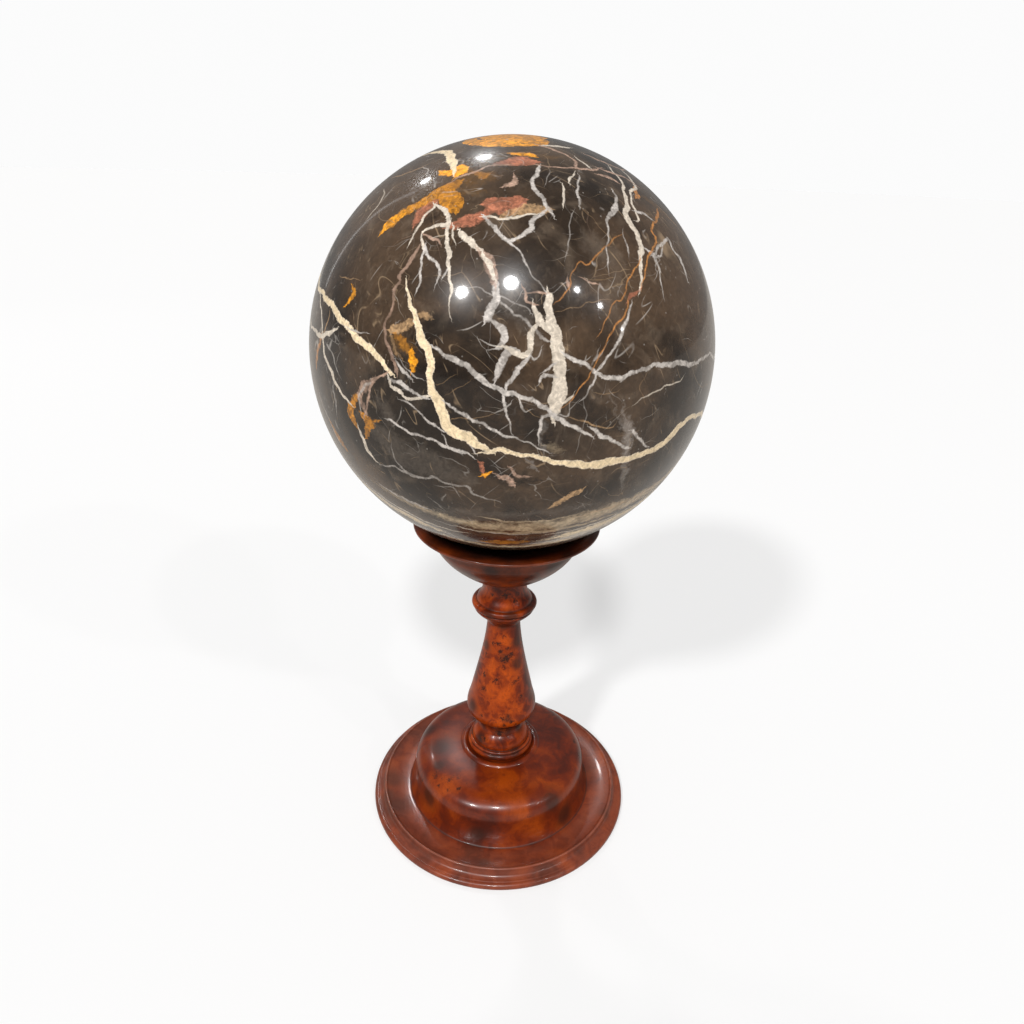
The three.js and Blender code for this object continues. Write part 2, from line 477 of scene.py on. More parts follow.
VEINS: tuple[Vein, ...] = (
    # the big cream vein, from the left of the middle down to the low front and away to the right
    vein(Tone.CREAM, (-28.6, 27.4, 0.4), (-26, 23.5, 0.9), (-23.9, 20, 1.3), (-21.7, 16, 2),
         (-19.6, 13.3, 2), (-18.7, 10.3, 1.8), (-18.6, 7.1, 1.7), (-17.7, 3.9, 2.5), (-16.5, 1.4, 3),
         (-15, -1.8, 2.6), (-13.3, -4.5, 2.8), (-10.2, -5.9, 2.8), (-7.5, -7.3, 2.3), (-4.4, -8.8, 1.2)),
    vein(Tone.CREAM, (-7.4, -9.6, 0.5), (-4, -9.2, 1), (-1.8, -8.4, 1.4), (0.7, -9, 1.1), (5.8, -10.1, 1.2),
         (9.8, -11.2, 1.3), (14.1, -12.4, 1.8), (18.8, -13.1, 2.2), (23.9, -13.3, 2.4), (28.9, -13.2, 2),
         (32.1, -13, 1.8), (36.5, -12.8, 1.8), (41.2, -11.8, 2.1), (45.1, -10.5, 2.2), (48.4, -8.2, 2.3),
         (53.4, -7, 1.6), (62, -8, 1.4), (76, -12, 1.8), (96, -14, 2.2), (118, -10, 1.6), (136, -14, 0.8)),
    # cream vein at the left
    vein(Tone.CREAM, (-112, 34, 0.8), (-96, 30, 1.8), (-80, 24, 1.5), (-69, 20.5, 1.3), (-63, 20, 1.4),
         (-56, 18.8, 1.7), (-49, 16.5, 2), (-43.5, 14.3, 1.9), (-38.5, 12.3, 1.7), (-33.3, 10, 1.6),
         (-31, 8.7, 1.5), (-28.8, 6.5, 0.9)),
    # cream column
    vein(Tone.IVORY, (8.2, 26.6, 1.2), (8.4, 23.6, 2.2), (8.8, 21, 2.5), (9.6, 17.5, 2.5), (10.2, 14.8, 3),
         (10.9, 11.7, 3.1), (11, 9.2, 2.8), (10.5, 6.3, 3.7), (10.3, 3.7, 3.5), (9.9, 0.8, 2.6),
         (9.6, -1.2, 1)),
    vein(Tone.IVORY, (4.6, 24, 0.8), (5.4, 21.9, 1.6), (6.7, 20.4, 1.6), (8, 18.8, 1.2)),
    vein(Tone.ROSE, (2.2, 27.8, 0.5), (3.2, 26.4, 0.8), (3, 25, 0.6), (4.6, 24.2, 0.8)),
    vein(Tone.ROSE, (2.8, 26.6, 0.4), (5.2, 26.9, 0.6), (7.6, 27, 0.7)),
    vein(Tone.ASH, (6.2, 7.4, 0.5), (6.9, 9, 0.9), (9.2, 9.2, 0.9)),
    vein(Tone.ASH, (6.8, 9.8, 0.4), (8.6, 10.6, 0.8), (9.8, 11.6, 0.6)),
    vein(Tone.ASH, (9.6, 0.6, 0.8), (7.4, -0.5, 1), (6.9, -3.2, 0.9), (6.4, -6, 0.5)),
    vein(Tone.IVORY, (10.6, 2.4, 0.6), (13, 3.6, 0.8), (14, 5, 0.3)),
    vein(Tone.ASH, (11, 0.6, 0.5), (13.2, -0.6, 0.4), (13.4, 3, 0.3)),
    # diagonal and long grey-white veins
    vein(Tone.ASH, (-18.4, 13.8, 0.7), (-15.7, 12.7, 1.1), (-12.8, 11.5, 1.3), (-10, 10.2, 1.3),
         (-7.5, 8.5, 1.5), (-5, 7, 1.3), (-3, 5.8, 1.2), (-0.8, 5, 1.3), (2.9, 4.4, 1.1), (5.2, 3.5, 1.2),
         (7.2, 2, 1.3), (9.4, 0.5, 1.3), (12.6, -1.5, 1.1), (15.2, -3.3, 1.1), (17.8, -4.6, 0.9),
         (19.6, -5.4, 0.5)),
    vein(Tone.ASH, (18.6, -3, 0.4), (20.4, -4.2, 1), (22.5, -5.9, 1.1), (26, -7.9, 1), (30, -9.8, 0.9)),
    vein(Tone.ASH, (30.5, -5.8, 0.9), (33.6, -8.2, 0.9), (36.8, -10.8, 0.6)),
    vein(Tone.ASH, (-15, 1.8, 0.7), (-13.9, 1.1, 0.9), (-10.8, -0.1, 0.9), (-8.1, -1.5, 1),
         (-5.5, -2.8, 0.9), (-2.6, -4, 0.8), (0.8, -5.2, 0.7), (2.5, -5.9, 0.6), (5.9, -7.3, 0.6),
         (9.3, -8.9, 0.4)),
    vein(Tone.ASH, (11.8, 14.1, 0.8), (13.5, 12.7, 1), (15.5, 11.8, 1), (17.6, 10.6, 1), (19.7, 9.4, 1.1),
         (22, 8.4, 1.2), (24.4, 7.7, 1.4), (26.3, 7.6, 1.4), (27.8, 8.3, 1.1), (29.7, 9, 1.1),
         (33.1, 8.9, 1), (35.7, 9.4, 1.3), (39.4, 9.3, 1.5), (44.8, 8.7, 1.5), (49.8, 8, 1.5),
         (53.6, 7.4, 1.2), (62, 8, 0.9), (74, 5, 1.2), (92, 8, 1.4), (106, 3, 0.6)),
    vein(Tone.ASH, (3.9, 22.6, 0.5), (1.4, 24, 0.5), (-3, 26, 0.5), cover=0.5),
    vein(Tone.ASH, (-3.6, 25, 0.6), (0, 22.4, 0.7), (4, 19.6, 0.9), (8, 16.6, 0.8), cover=0.6),
    # band from the top patch down through the middle
    vein(Tone.IVORY, (-15.8, 39.8, 1.4), (-13.2, 37.8, 1.8), (-9.9, 36, 1.4)),
    vein(Tone.ROSE, (-9.6, 35.9, 1.2), (-7.3, 33.4, 2.6), (-5.6, 30.8, 2.4), (-4.6, 28.6, 1.6), cover=0.7),
    vein(Tone.IVORY, (-8.6, 35, 0.8), (-6.9, 32.6, 1.4), (-5.2, 29.6, 1)),
    vein(Tone.ASH, (-4.5, 28.4, 1.6), (-4.3, 25.4, 1.9), (-5.5, 22.7, 2.2), (-6.2, 20.7, 1.4)),
    vein(Tone.ASH, (-6, 20.8, 0.7), (-4.3, 20.3, 1), (-2.6, 18.8, 1.7), (-1.9, 17, 1.7), (-3, 15.2, 1.3),
         (-3.8, 14.6, 0.6)),
    vein(Tone.IVORY, (-2.9, 14.9, 0.5), (-1.7, 14.8, 0.8), (0.3, 14.1, 1.5), (2, 13.3, 1.3),
         (3.3, 13.9, 1.2), (4.1, 15.6, 1.3), (4.3, 18, 1.4), (5.3, 19.4, 1.2), (6, 20.6, 0.7)),
    vein(Tone.ASH, (0.4, 14, 1.6), (-1, 13.6, 1.9), (-2.6, 11.4, 1.8), (-3.4, 9.2, 1.4), (-3.7, 7.8, 0.9)),
    vein(Tone.ASH, (3.9, 12.9, 0.7), (2.4, 11.8, 1.2), (1, 9.8, 1.2), (-0.2, 7.6, 1.1), (-0.9, 6, 0.8)),
    vein(Tone.ASH, (3.8, 13.4, 0.4), (5, 12.4, 0.6), (6.4, 14.6, 0.4)),
    vein(Tone.ASH, (-1.3, 4.4, 0.8), (-1, 2, 0.9), (-0.4, -1.5, 0.6), (0.6, -4.6, 0.3)),
    vein(Tone.ASH, (1.4, 4.6, 0.5), (2.6, 2.4, 0.9), (3.2, 1, 0.5), (4.6, 1.6, 0.3)),
    vein(Tone.ASH, (-0.2, 3, 0.4), (-1.6, 1.4, 0.5), (-3.2, 0.6, 0.3)),
    # upper right
    vein(Tone.IVORY, (56, 62, 0.5), (52, 58, 0.8), (50.5, 55.5, 0.9), (45.7, 51.5, 1.2), (41.9, 48, 1.4),
         (38.9, 45.5, 1.5), (38.9, 43.6, 1.7), (39, 40.7, 1.6), (39, 38.2, 1.8), (38.6, 35.8, 1.7),
         (37.2, 34, 1.2), (35.2, 30.6, 1), (34.6, 28, 0.9), (33.7, 26.6, 0.9)),
    vein(Tone.SALMON, (34, 26.9, 0.7), (32, 26.2, 1), (30.4, 25.8, 1.1), (29.4, 24.8, 0.8), cover=0.75),
    vein(Tone.ASH, (29.8, 23.6, 0.8), (28.3, 20.8, 1), (26.9, 18.2, 0.9), (25.4, 15.8, 0.8),
         (23.7, 14.2, 0.8), (21.6, 11.6, 0.8), (19.7, 9, 0.7), (18.1, 6.5, 0.7), (16.9, 4.4, 0.6),
         (16, 3, 0.3)),
    vein(Tone.IVORY, (66, 60, 0.6), (64, 57.4, 1), (57.5, 53.7, 1.2), (51, 52.3, 0.9), (45.6, 48.8, 0.8),
         (44.7, 46.3, 0.9), (43.6, 43.7, 0.8), (41.8, 43.4, 0.4)),
    vein(Tone.ASH, (40, 52.6, 0.6), (38.8, 49.5, 1), (35, 47.3, 1.5), (31.7, 45.4, 1.2), (29.6, 43.4, 0.9),
         (28.6, 40.6, 0.6), (26.3, 37.2, 0.5), (25.9, 34, 0.5), (25.1, 31.4, 0.3)),
    vein(Tone.ASH, (40.6, 36.6, 0.6), (42.6, 34.6, 1.3), (42.9, 32.4, 0.9), (42.7, 30.6, 0.8),
         (42.2, 26.9, 0.5), (41.6, 24.3, 0.3)),
    vein(Tone.ASH, (42.8, 34.8, 0.8), (46.6, 36.5, 1.1), (49.8, 37, 1), (54.3, 38.3, 1), (54.2, 35, 1),
         (55.7, 33, 1.2), (56, 30, 0.9), (55.8, 27.2, 0.5)),
    vein(Tone.ASH, (43.4, 34, 0.6), (46.4, 34.2, 0.9), (48.4, 36, 0.6)),
    vein(Tone.ASH, (44.6, 46.4, 0.8), (48.6, 45.4, 1), (51.2, 43.4, 0.6)),
    vein(Tone.ASH, (10, 61.4, 0.9), (7.7, 57.5, 1.2), (5.9, 54.6, 1.2), (7.5, 51.6, 1.3), (9.1, 49.3, 1.4),
         (10.4, 47.2, 1.1), (11.9, 45.2, 0.7)),
    vein(Tone.ASH, (9.7, 46.4, 0.8), (6.4, 44.9, 1.1), (4.5, 43.3, 1.4), (4.5, 41.2, 1.4), (1.2, 39.5, 1.1),
         (-1.5, 38.4, 1.1), (-3, 39.4, 0.5)),
    vein(Tone.ASH, (-9.9, 44, 1), (-5.5, 40.7, 1.1), (-2.2, 38.4, 0.9), (0.2, 36.6, 0.6), (3.2, 32.8, 0.5),
         (5.4, 29.6, 0.5), (8, 26.6, 0.4)),
    vein(Tone.IVORY, (-9.8, 44.4, 0.7), (-4, 43.8, 0.7), (1, 44.8, 0.7), (6, 45.4, 0.6)),
    # upper left
    vein(Tone.CREAM, (-96, 62, 0.6), (-78, 64, 1), (-66, 66, 1.6), (-55, 66.6, 2), (-44, 65.4, 2.3),
         (-36.6, 62.6, 2.4), (-31.4, 59.6, 1.8), (-27.8, 57.2, 0.9)),
    vein(Tone.ROSE, (-27.2, 53.6, 0.5), (-25.5, 55.2, 0.8), (-22.6, 56.6, 0.9), (-19, 58.2, 0.7),
         (-15, 60.4, 0.9), (-10, 60.9, 0.8), (-4.6, 61.4, 0.9)),
    vein(Tone.IVORY, (-28.3, 46.3, 0.9), (-29.4, 43.5, 0.9), (-30, 40.8, 0.8), (-31, 38.3, 0.7),
         (-31.1, 35.8, 0.5)),
    vein(Tone.IVORY, (-28, 46.6, 0.8), (-24.6, 46, 1.3), (-22, 44.4, 1.1), (-21.1, 42.1, 1.3),
         (-24.9, 40.9, 0.9), (-27.6, 39.3, 0.6), (-27.4, 37.3, 0.6), (-25.9, 35.2, 0.8)),
    vein(Tone.ROSE, (-27.3, 38.6, 0.5), (-24.8, 38.2, 0.9), (-22.6, 37.9, 0.8), (-21.4, 36.6, 0.4)),
    vein(Tone.ASH, (-25.9, 35.4, 1), (-25.3, 31.9, 0.7), (-24.2, 28.5, 0.8), (-24.7, 25.3, 0.5)),
    vein(Tone.ASH, (-25.4, 35, 0.8), (-23.2, 33.6, 0.8), (-20.4, 31.9, 1), (-19.6, 29.7, 0.8),
         (-19.9, 26.8, 0.3)),
    vein(Tone.IVORY, (-20.4, 42, 0.9), (-19.7, 37.8, 1.1), (-18.5, 35.3, 1.3), (-17.1, 32, 1.1),
         (-16.3, 28.8, 1), (-15.5, 25.7, 0.8), (-15.4, 22.8, 0.4), (-14.4, 20.4, 0.3)),
    vein(Tone.ASH, (-17.2, 31.6, 0.7), (-18.2, 29.6, 0.8), (-18.4, 28.8, 0.3)),
    vein(Tone.IVORY, (-19, 41, 0.7), (-18.2, 38.6, 0.6), (-17, 37, 0.3)),
    vein(Tone.ROSE, (-27, 36.2, 0.5), (-27.9, 33.5, 1.2), (-29.4, 31, 1), (-30.8, 28.6, 1.1),
         (-29.9, 27.1, 0.7), (-31.1, 24.8, 1.2), (-30.6, 22.2, 0.8), (-31.1, 19.9, 0.7), (-31.7, 18.1, 0.8),
         (-31.3, 15, 0.9), (-30.2, 12.2, 0.9), (-28.6, 10.4, 1), (-27.2, 7.6, 1), cover=0.7),
    vein(Tone.ASH, (-46, 14.6, 0.4), (-42, 14.4, 0.7), (-37, 14.6, 0.3)),
    vein(Tone.IVORY, (-66, 20, 0.7), (-62, 17, 0.8), (-58.5, 13.3, 0.7), (-56.8, 10.8, 0.8)),
    vein(Tone.TAN, (-54.6, 17, 0.4), (-55, 14.5, 0.6), (-56.5, 11.4, 0.7)),
    vein(Tone.IVORY, (-88, 14, 0.6), (-72, 11, 0.9), (-62, 10.2, 1.1), (-56.6, 10.6, 1.4), (-52.5, 12, 1.4),
         (-49.6, 13.8, 0.7)),
    vein(Tone.IVORY, (-57, 10.4, 0.9), (-55, 6.2, 1), (-51.5, 3.7, 1.2), (-49.3, 0.5, 1.2),
         (-46, -1.5, 0.9), (-42.5, -3.6, 0.6)),
    vein(Tone.ASH, (-54, 8.8, 0.5), (-50, 7, 0.6), (-48, 4, 0.5), (-46, 2, 0.2), cover=0.6),
    vein(Tone.ASH, (-50.4, -0.6, 0.8), (-50, -4.6, 1), (-51, -8, 0.5), cover=0.5),
    vein(Tone.TAN, (-68, 54, 0.5), (-58, 56, 0.9), (-52, 58.4, 0.8), cover=0.7),
    vein(Tone.IVORY, (-62, 50, 0.4), (-57, 47.4, 0.8), (-55, 44, 0.6), (-56, 41, 0.4), cover=0.8),
    vein(Tone.ASH, (-50, 58.8, 0.4), (-45.6, 58.4, 0.6), (-43.4, 56.4, 0.5)),
    vein(Tone.TAN, (-54, 25.6, 0.3), (-50.4, 25.4, 0.5), (-47, 26, 0.3), (-44.6, 26.2, 0.3)),
    # lower left
    vein(Tone.IVORY, (-29.6, 6, 0.6), (-29, 3.6, 1), (-26.4, 2.9, 1.1), (-24.1, 1.7, 0.8),
         (-21.7, 2.1, 0.9), (-19.2, 2.5, 1)),
    vein(Tone.ASH, (-28.8, 5.3, 0.8), (-25.7, 4.5, 1.2), (-22.4, 3.3, 0.9), (-19.4, 2.6, 0.8)),
    vein(Tone.ASH, (-27.4, 9.6, 0.6), (-25.6, 7.9, 1.1), (-23.7, 6.2, 0.7)),
    vein(Tone.ASH, (-26.6, 10.4, 0.3), (-22.8, 7, 0.5), (-20.5, 6.3, 0.3)),
    vein(Tone.ASH, (-30.4, -4.7, 0.6), (-27.7, -5.3, 0.8), (-25.2, -6.3, 0.7), (-22.6, -6.8, 1),
         (-20.2, -7.4, 0.7), (-17.3, -8, 0.9), (-14.5, -8.9, 1.2), (-12, -9.6, 1.1), (-10.3, -10.2, 0.8),
         (-8.4, -10.9, 0.5)),
    vein(Tone.ASH, (-26.2, 1.3, 0.5), (-23.9, 0.4, 0.6), (-21.2, -1.2, 0.6), (-19, -2.8, 0.8),
         (-17, -4, 0.8), (-15.6, -4.8, 0.7)),
    vein(Tone.ASH, (-15.6, -6.4, 0.6), (-14.8, -8.2, 0.5)),
    vein(Tone.ASH, (-9, -7.8, 0.4), (-8, -9.4, 0.7)),
    vein(Tone.ROSE, (-30, 6.9, 0.7), (-32.7, 5, 0.9), (-34.2, 3.7, 0.9), (-36, 0.2, 0.9), (-36.8, -3, 0.7),
         (-38, -6, 0.5)),
    vein(Tone.ASH, (-34.8, 3.6, 0.6), (-37.4, 2.2, 1.1), (-39, -1, 0.8), (-39, -4, 0.5), cover=0.7),
    vein(Tone.IVORY, (-41, -9.2, 0.7), (-40.2, -11, 1.3), (-39.8, -14.9, 1.3), (-38.6, -16.6, 0.9),
         (-36.7, -18, 0.4)),
    vein(Tone.ASH, (-36, -18.4, 0.5), (-31.5, -18, 0.8), (-28.4, -18.5, 1), (-25, -19.1, 1.1),
         (-21.6, -19.3, 0.9), (-19.3, -18.3, 0.8), (-16.7, -19.3, 0.7), (-13.6, -19.9, 0.8),
         (-10.5, -20.1, 1), (-8.8, -22.3, 0.9), (-5.6, -23.2, 0.7), (-2.3, -24.4, 0.4), cover=0.55),
    vein(Tone.ASH, (-30.2, -11.2, 0.3), (-29.8, -15, 0.6), (-28.8, -17.4, 0.9), cover=0.5),
    vein(Tone.ASH, (-16, -11.6, 0.3), (-13, -12.4, 0.4), (-10, -14.4, 0.3), cover=0.4),
    vein(Tone.ASH, (-19, -21, 0.3), (-14.5, -21, 0.5), (-13, -22.8, 0.4), cover=0.5),
    vein(Tone.ASH, (-41, -27, 0.6), (-35, -28.6, 1), (-29, -30.4, 1.2), (-24, -31, 0.6), cover=0.7),
    vein(Tone.ASH, (-62, -6, 0.6), (-58, -12, 0.9), (-55, -18, 0.7), cover=0.5),
    vein(Tone.IVORY, (-22, -47, 0.5), (-16, -50, 0.9), (-8, -51.8, 0.9), (2, -52, 0.9), (12, -50.6, 1),
         (20, -48, 0.8), cover=0.8),
    vein(Tone.BEIGE, (-8, -31, 0.6), (0, -32.4, 1), (10, -32.4, 0.9), (20, -31, 0.6), cover=0.6),
    vein(Tone.BEIGE, (-16, -38, 0.8), (-4, -39, 1.4), (10, -38.6, 1.6), (24, -37, 1.4), (38, -35, 1),
         cover=0.7),
    # streaks in the pale bands
    vein(Tone.IVORY, (-56, -28, 0.4), (-44, -34, 0.8), (-34, -37.4, 0.9), (-24, -40.6, 0.8),
         (-14, -41, 0.5)),
    vein(Tone.IVORY, (14, -40.6, 0.5), (28, -39, 0.9), (42, -35.6, 0.9), (56, -31, 0.5)),
    vein(Tone.ASH, (-24, -36.4, 0.4), (-12, -38.6, 0.8), (2, -39.6, 0.7), (14, -39, 0.4), cover=0.8),
    vein(Tone.TAN, (20, -32, 0.5), (32, -30.6, 0.9), (46, -28.4, 0.8), (60, -25, 0.4), cover=0.8),
    # rust hairlines on the right
    vein(Tone.RUST, (60, 45.6, 1), (52.9, 43.4, 0.9), (47.8, 41.1, 0.9), (47.5, 39, 0.9), (44.5, 36.6, 0.8),
         (41.3, 34.8, 0.7), (38.6, 32.6, 0.6), (36, 29.6, 0.6), (34.4, 27.2, 0.5)),
    vein(Tone.RUST, (29, 24.4, 0.5), (28, 22.1, 0.6), (24.3, 18.3, 0.6), (23, 17.4, 0.5), (20.2, 12.6, 0.5),
         (18.2, 9.5, 0.45), (15.2, 5.7, 0.45), (13.8, 3.2, 0.4), (11.6, 2, 0.4)),
    vein(Tone.RUST, (36.9, 34, 0.5), (32.4, 30.6, 0.5), (29.6, 27.7, 0.5), (27.4, 24.9, 0.5),
         (25.8, 24.9, 0.4), (23.6, 22, 0.5), (21.4, 19.5, 0.4), (20, 17.2, 0.3)),
    vein(Tone.RUST, (33.3, 40.2, 0.3), (30.2, 39.5, 0.5), (26.5, 37.2, 0.5), (22.7, 35.2, 0.5),
         (19.2, 33.3, 0.5), (17.3, 33.6, 0.4), (14.9, 31, 0.4), (13.5, 28.1, 0.5), (12.2, 26.5, 0.5),
         (10.3, 24.5, 0.4), cover=0.85),
    vein(Tone.TAN, (25.8, 29.6, 0.3), (20.8, 29.6, 0.35), (18.6, 30, 0.25), cover=0.6),
    vein(Tone.TAN, (24, 25.2, 0.3), (18.6, 24.8, 0.35), (16.2, 23.5, 0.35), (13.3, 23.3, 0.3),
         (10.5, 23, 0.3), cover=0.7),
    vein(Tone.ROSE, (17.4, 30, 0.4), (20.2, 28.8, 0.7), (21.6, 28.2, 0.4)),
    vein(Tone.ROSE, (13.4, 30.2, 0.4), (13, 28.8, 1.1), (13.2, 27.8, 0.5)),
    vein(Tone.IVORY, (30, 1, 0.3), (34.5, 3, 0.5), (39.5, 4, 0.5), (44.5, 4.4, 0.5), (47, 5.6, 0.3),
         cover=0.8),
    vein(Tone.TAN, (19.6, 4.6, 0.3), (22.4, 4.4, 0.35), (25, 5.1, 0.3), cover=0.7),
    vein(Tone.TAN, (13.8, -0.6, 0.3), (17, -1.8, 0.6), (20.6, -3, 0.5), (24.5, -3.9, 0.5),
         (25.4, -3.2, 0.3), cover=0.8),
    vein(Tone.TAN, (-17, 5.5, 0.3), (-13, 8.3, 0.3), cover=0.5),
    vein(Tone.TAN, (-14.5, 3.5, 0.3), (-9.5, 7.3, 0.3), cover=0.5),
    vein(Tone.TAN, (-13, -1.8, 0.4), (-8.5, -1, 0.4), (-4, 0, 0.3), cover=0.6),
    vein(Tone.TAN, (33, 1.4, 0.3), (31.4, 5, 0.35), (34, 8.4, 0.3), cover=0.5),
    vein(Tone.ASH, (16.4, 3.4, 0.3), (17.4, -1, 0.45), (16.6, -5, 0.35), (15.8, -9, 0.3), cover=0.5),
    vein(Tone.ASH, (20.6, 14.6, 0.3), (18.6, 11.6, 0.6), (17.8, 10.6, 0.3), cover=0.5),
    # top and upper right hairlines
    vein(Tone.IVORY, (17.5, 54.5, 0.5), (17.3, 51.3, 0.8), (15.8, 47.8, 0.4)),
    vein(Tone.IVORY, (26.6, 59, 0.5), (22.4, 57, 0.8), (20.8, 55.4, 0.5)),
    vein(Tone.ASH, (27.4, 58, 0.5), (23.5, 52.8, 0.8), (21.5, 48.3, 0.7)),
    vein(Tone.ASH, (18.8, 46.5, 0.3), (16.8, 43.5, 0.4), (14.6, 37.5, 0.45), (13.6, 34.2, 0.3), cover=0.7),
    vein(Tone.ASH, (15, 60, 0.3), (12, 56.6, 0.4), (11, 54.4, 0.3), cover=0.7),
    vein(Tone.TAN, (21.5, 47.6, 0.3), (24, 45, 0.3), (28, 39.9, 0.3), cover=0.5),
    vein(Tone.ASH, (34.4, 41.2, 0.3), (33.6, 38.4, 0.5), (33.4, 36.2, 0.7), (32.6, 34.6, 0.3), cover=0.8),
    vein(Tone.ROSE, (9, 61.5, 0.6), (16, 61.3, 0.6), (24, 61, 0.6), (31, 60.7, 1), (39, 60.6, 1),
         (47, 61.2, 0.6)),
    vein(Tone.ROSE, (14, 73, 0.8), (23, 71, 1.2), (30, 67.6, 0.9), (32, 64.6, 1), (30.4, 61.6, 0.9)),
    vein(Tone.IVORY, (20, 72.4, 1), (33, 72.4, 1.6), (44, 72, 1)),
    vein(Tone.ROSE, (40, 58.4, 1), (44, 57.4, 1.5), (47.4, 56, 0.8)),
    vein(Tone.ROSE, (44, 61, 0.8), (52, 59, 1.2), (58, 57, 1), (62, 54, 0.6)),
    vein(Tone.IVORY, (36, 66.4, 0.4), (37.4, 63.4, 0.8), (38, 61.6, 0.8)),
    vein(Tone.ROSE, (50, 68, 0.7), (56, 64, 1.1), (64, 61.6, 0.9), (74, 60, 0.6)),
    vein(Tone.TAN, (64, 47, 0.5), (68, 42, 0.7), (72, 37, 0.5), cover=0.7),
    vein(Tone.ASH, (-14.6, 26.6, 0.3), (-9, 27.6, 0.4), (-5.4, 25.6, 0.4), cover=0.6),
    vein(Tone.ASH, (-7.4, 16.4, 0.3), (-4.6, 15.4, 0.5), (-3.2, 14.8, 0.4)),
)


@dataclass(frozen=True)
class WildVeins:
    """Veins for the side that is turned away, grown from a fixed seed and plainer than the front's.

    Attributes:
        seed: where the random numbers start.
        count: how many veins are grown.
        front: the way that the front faces.
        edge: veins stop where the ball faces the front more than this.
    """

    seed: int = 11
    count: int = 84
    front: tuple[float, float, float] = (0.0, -0.972, 0.235)
    edge: float = 0.30

    def grow(self) -> list[Vein]:
        """Each vein is a walk in equal strides whose heading drifts a little at every stride.

        Returns:
            The veins that keep at least three points on the far side.
        """
        rng = np.random.default_rng(self.seed)
        tones = [Tone.ASH, Tone.IVORY, Tone.CREAM, Tone.RUST, Tone.TAN, Tone.ROSE]
        found = []
        for number in range(self.count):
            here = rng.normal(size=3)
            here /= np.linalg.norm(here)
            heading = np.cross(here, rng.normal(size=3))
            tone = rng.choice(len(tones), p=[0.38, 0.2, 0.1, 0.12, 0.12, 0.08])
            width = rng.uniform(0.4, 1.1) if number > 15 else rng.uniform(1.3, 2.8)
            strides = int(rng.integers(5, 15))
            course = []
            for stride in range(strides):
                if here @ np.array(self.front) > self.edge:
                    break
                share = sin(pi * (stride + 0.6) / (strides + 0.2))
                place = (np.degrees(np.arctan2(here[0], -here[1])), np.degrees(np.arcsin(here[2])))
                course.append((float(place[0]), float(place[1]), float(width * (0.4 + 0.6 * share))))
                heading = heading - here * (heading @ here) + np.cross(here, heading) * rng.normal(0, 0.3)
                heading /= np.linalg.norm(heading)
                here = here + heading * rng.uniform(0.07, 0.12)
                here /= np.linalg.norm(here)
            if len(course) > 2:
                found.append(Vein(tones[tone], tuple(course), float(rng.uniform(0.6, 1.0))))
        return found


def whiskers(veins: Sequence[Vein], seed: int, count: int) -> list[Vein]:
    """Short fine hairs that leave the sides of veins at a slant, from a fixed seed.

    Args:
        veins: the veins that they grow from.
        seed: where the random numbers start.
        count: how many.

    Returns:
        The hairs, each of four points that thin out to a tip.
    """
    rng = np.random.default_rng(seed)
    found = []
    for _ in range(count):
        parent = veins[int(rng.integers(len(veins)))]
        start = int(rng.integers(len(parent.course) - 1))
        (turn, rise, _), (next_turn, next_rise, _) = parent.course[start : start + 2]
        squash = max(0.2, cos(radians(rise)))
        heading = atan2(next_rise - rise, (next_turn - turn) * squash)
        heading += float(rng.choice((-1, 1))) * rng.uniform(0.3, 1.2)
        share = rng.uniform()
        turn, rise = turn + (next_turn - turn) * share, rise + (next_rise - rise) * share
        stride, half = rng.uniform(0.6, 3.2), rng.uniform(0.18, 0.36)
        course = []
        for step in range(4):
            course.append((float(turn), float(rise), float(half * (1 - 0.24 * step))))
            heading += rng.normal(0, 0.13)
            turn += cos(heading) * stride / squash
            rise += sin(heading) * stride
        tone = (Tone.ASH, Tone.IVORY, Tone.TAN, Tone.ROSE)[int(rng.choice(4, p=[0.5, 0.22, 0.2, 0.08]))]
        found.append(Vein(tone, tuple(course), float(rng.uniform(0.35, 0.8))))
    return found


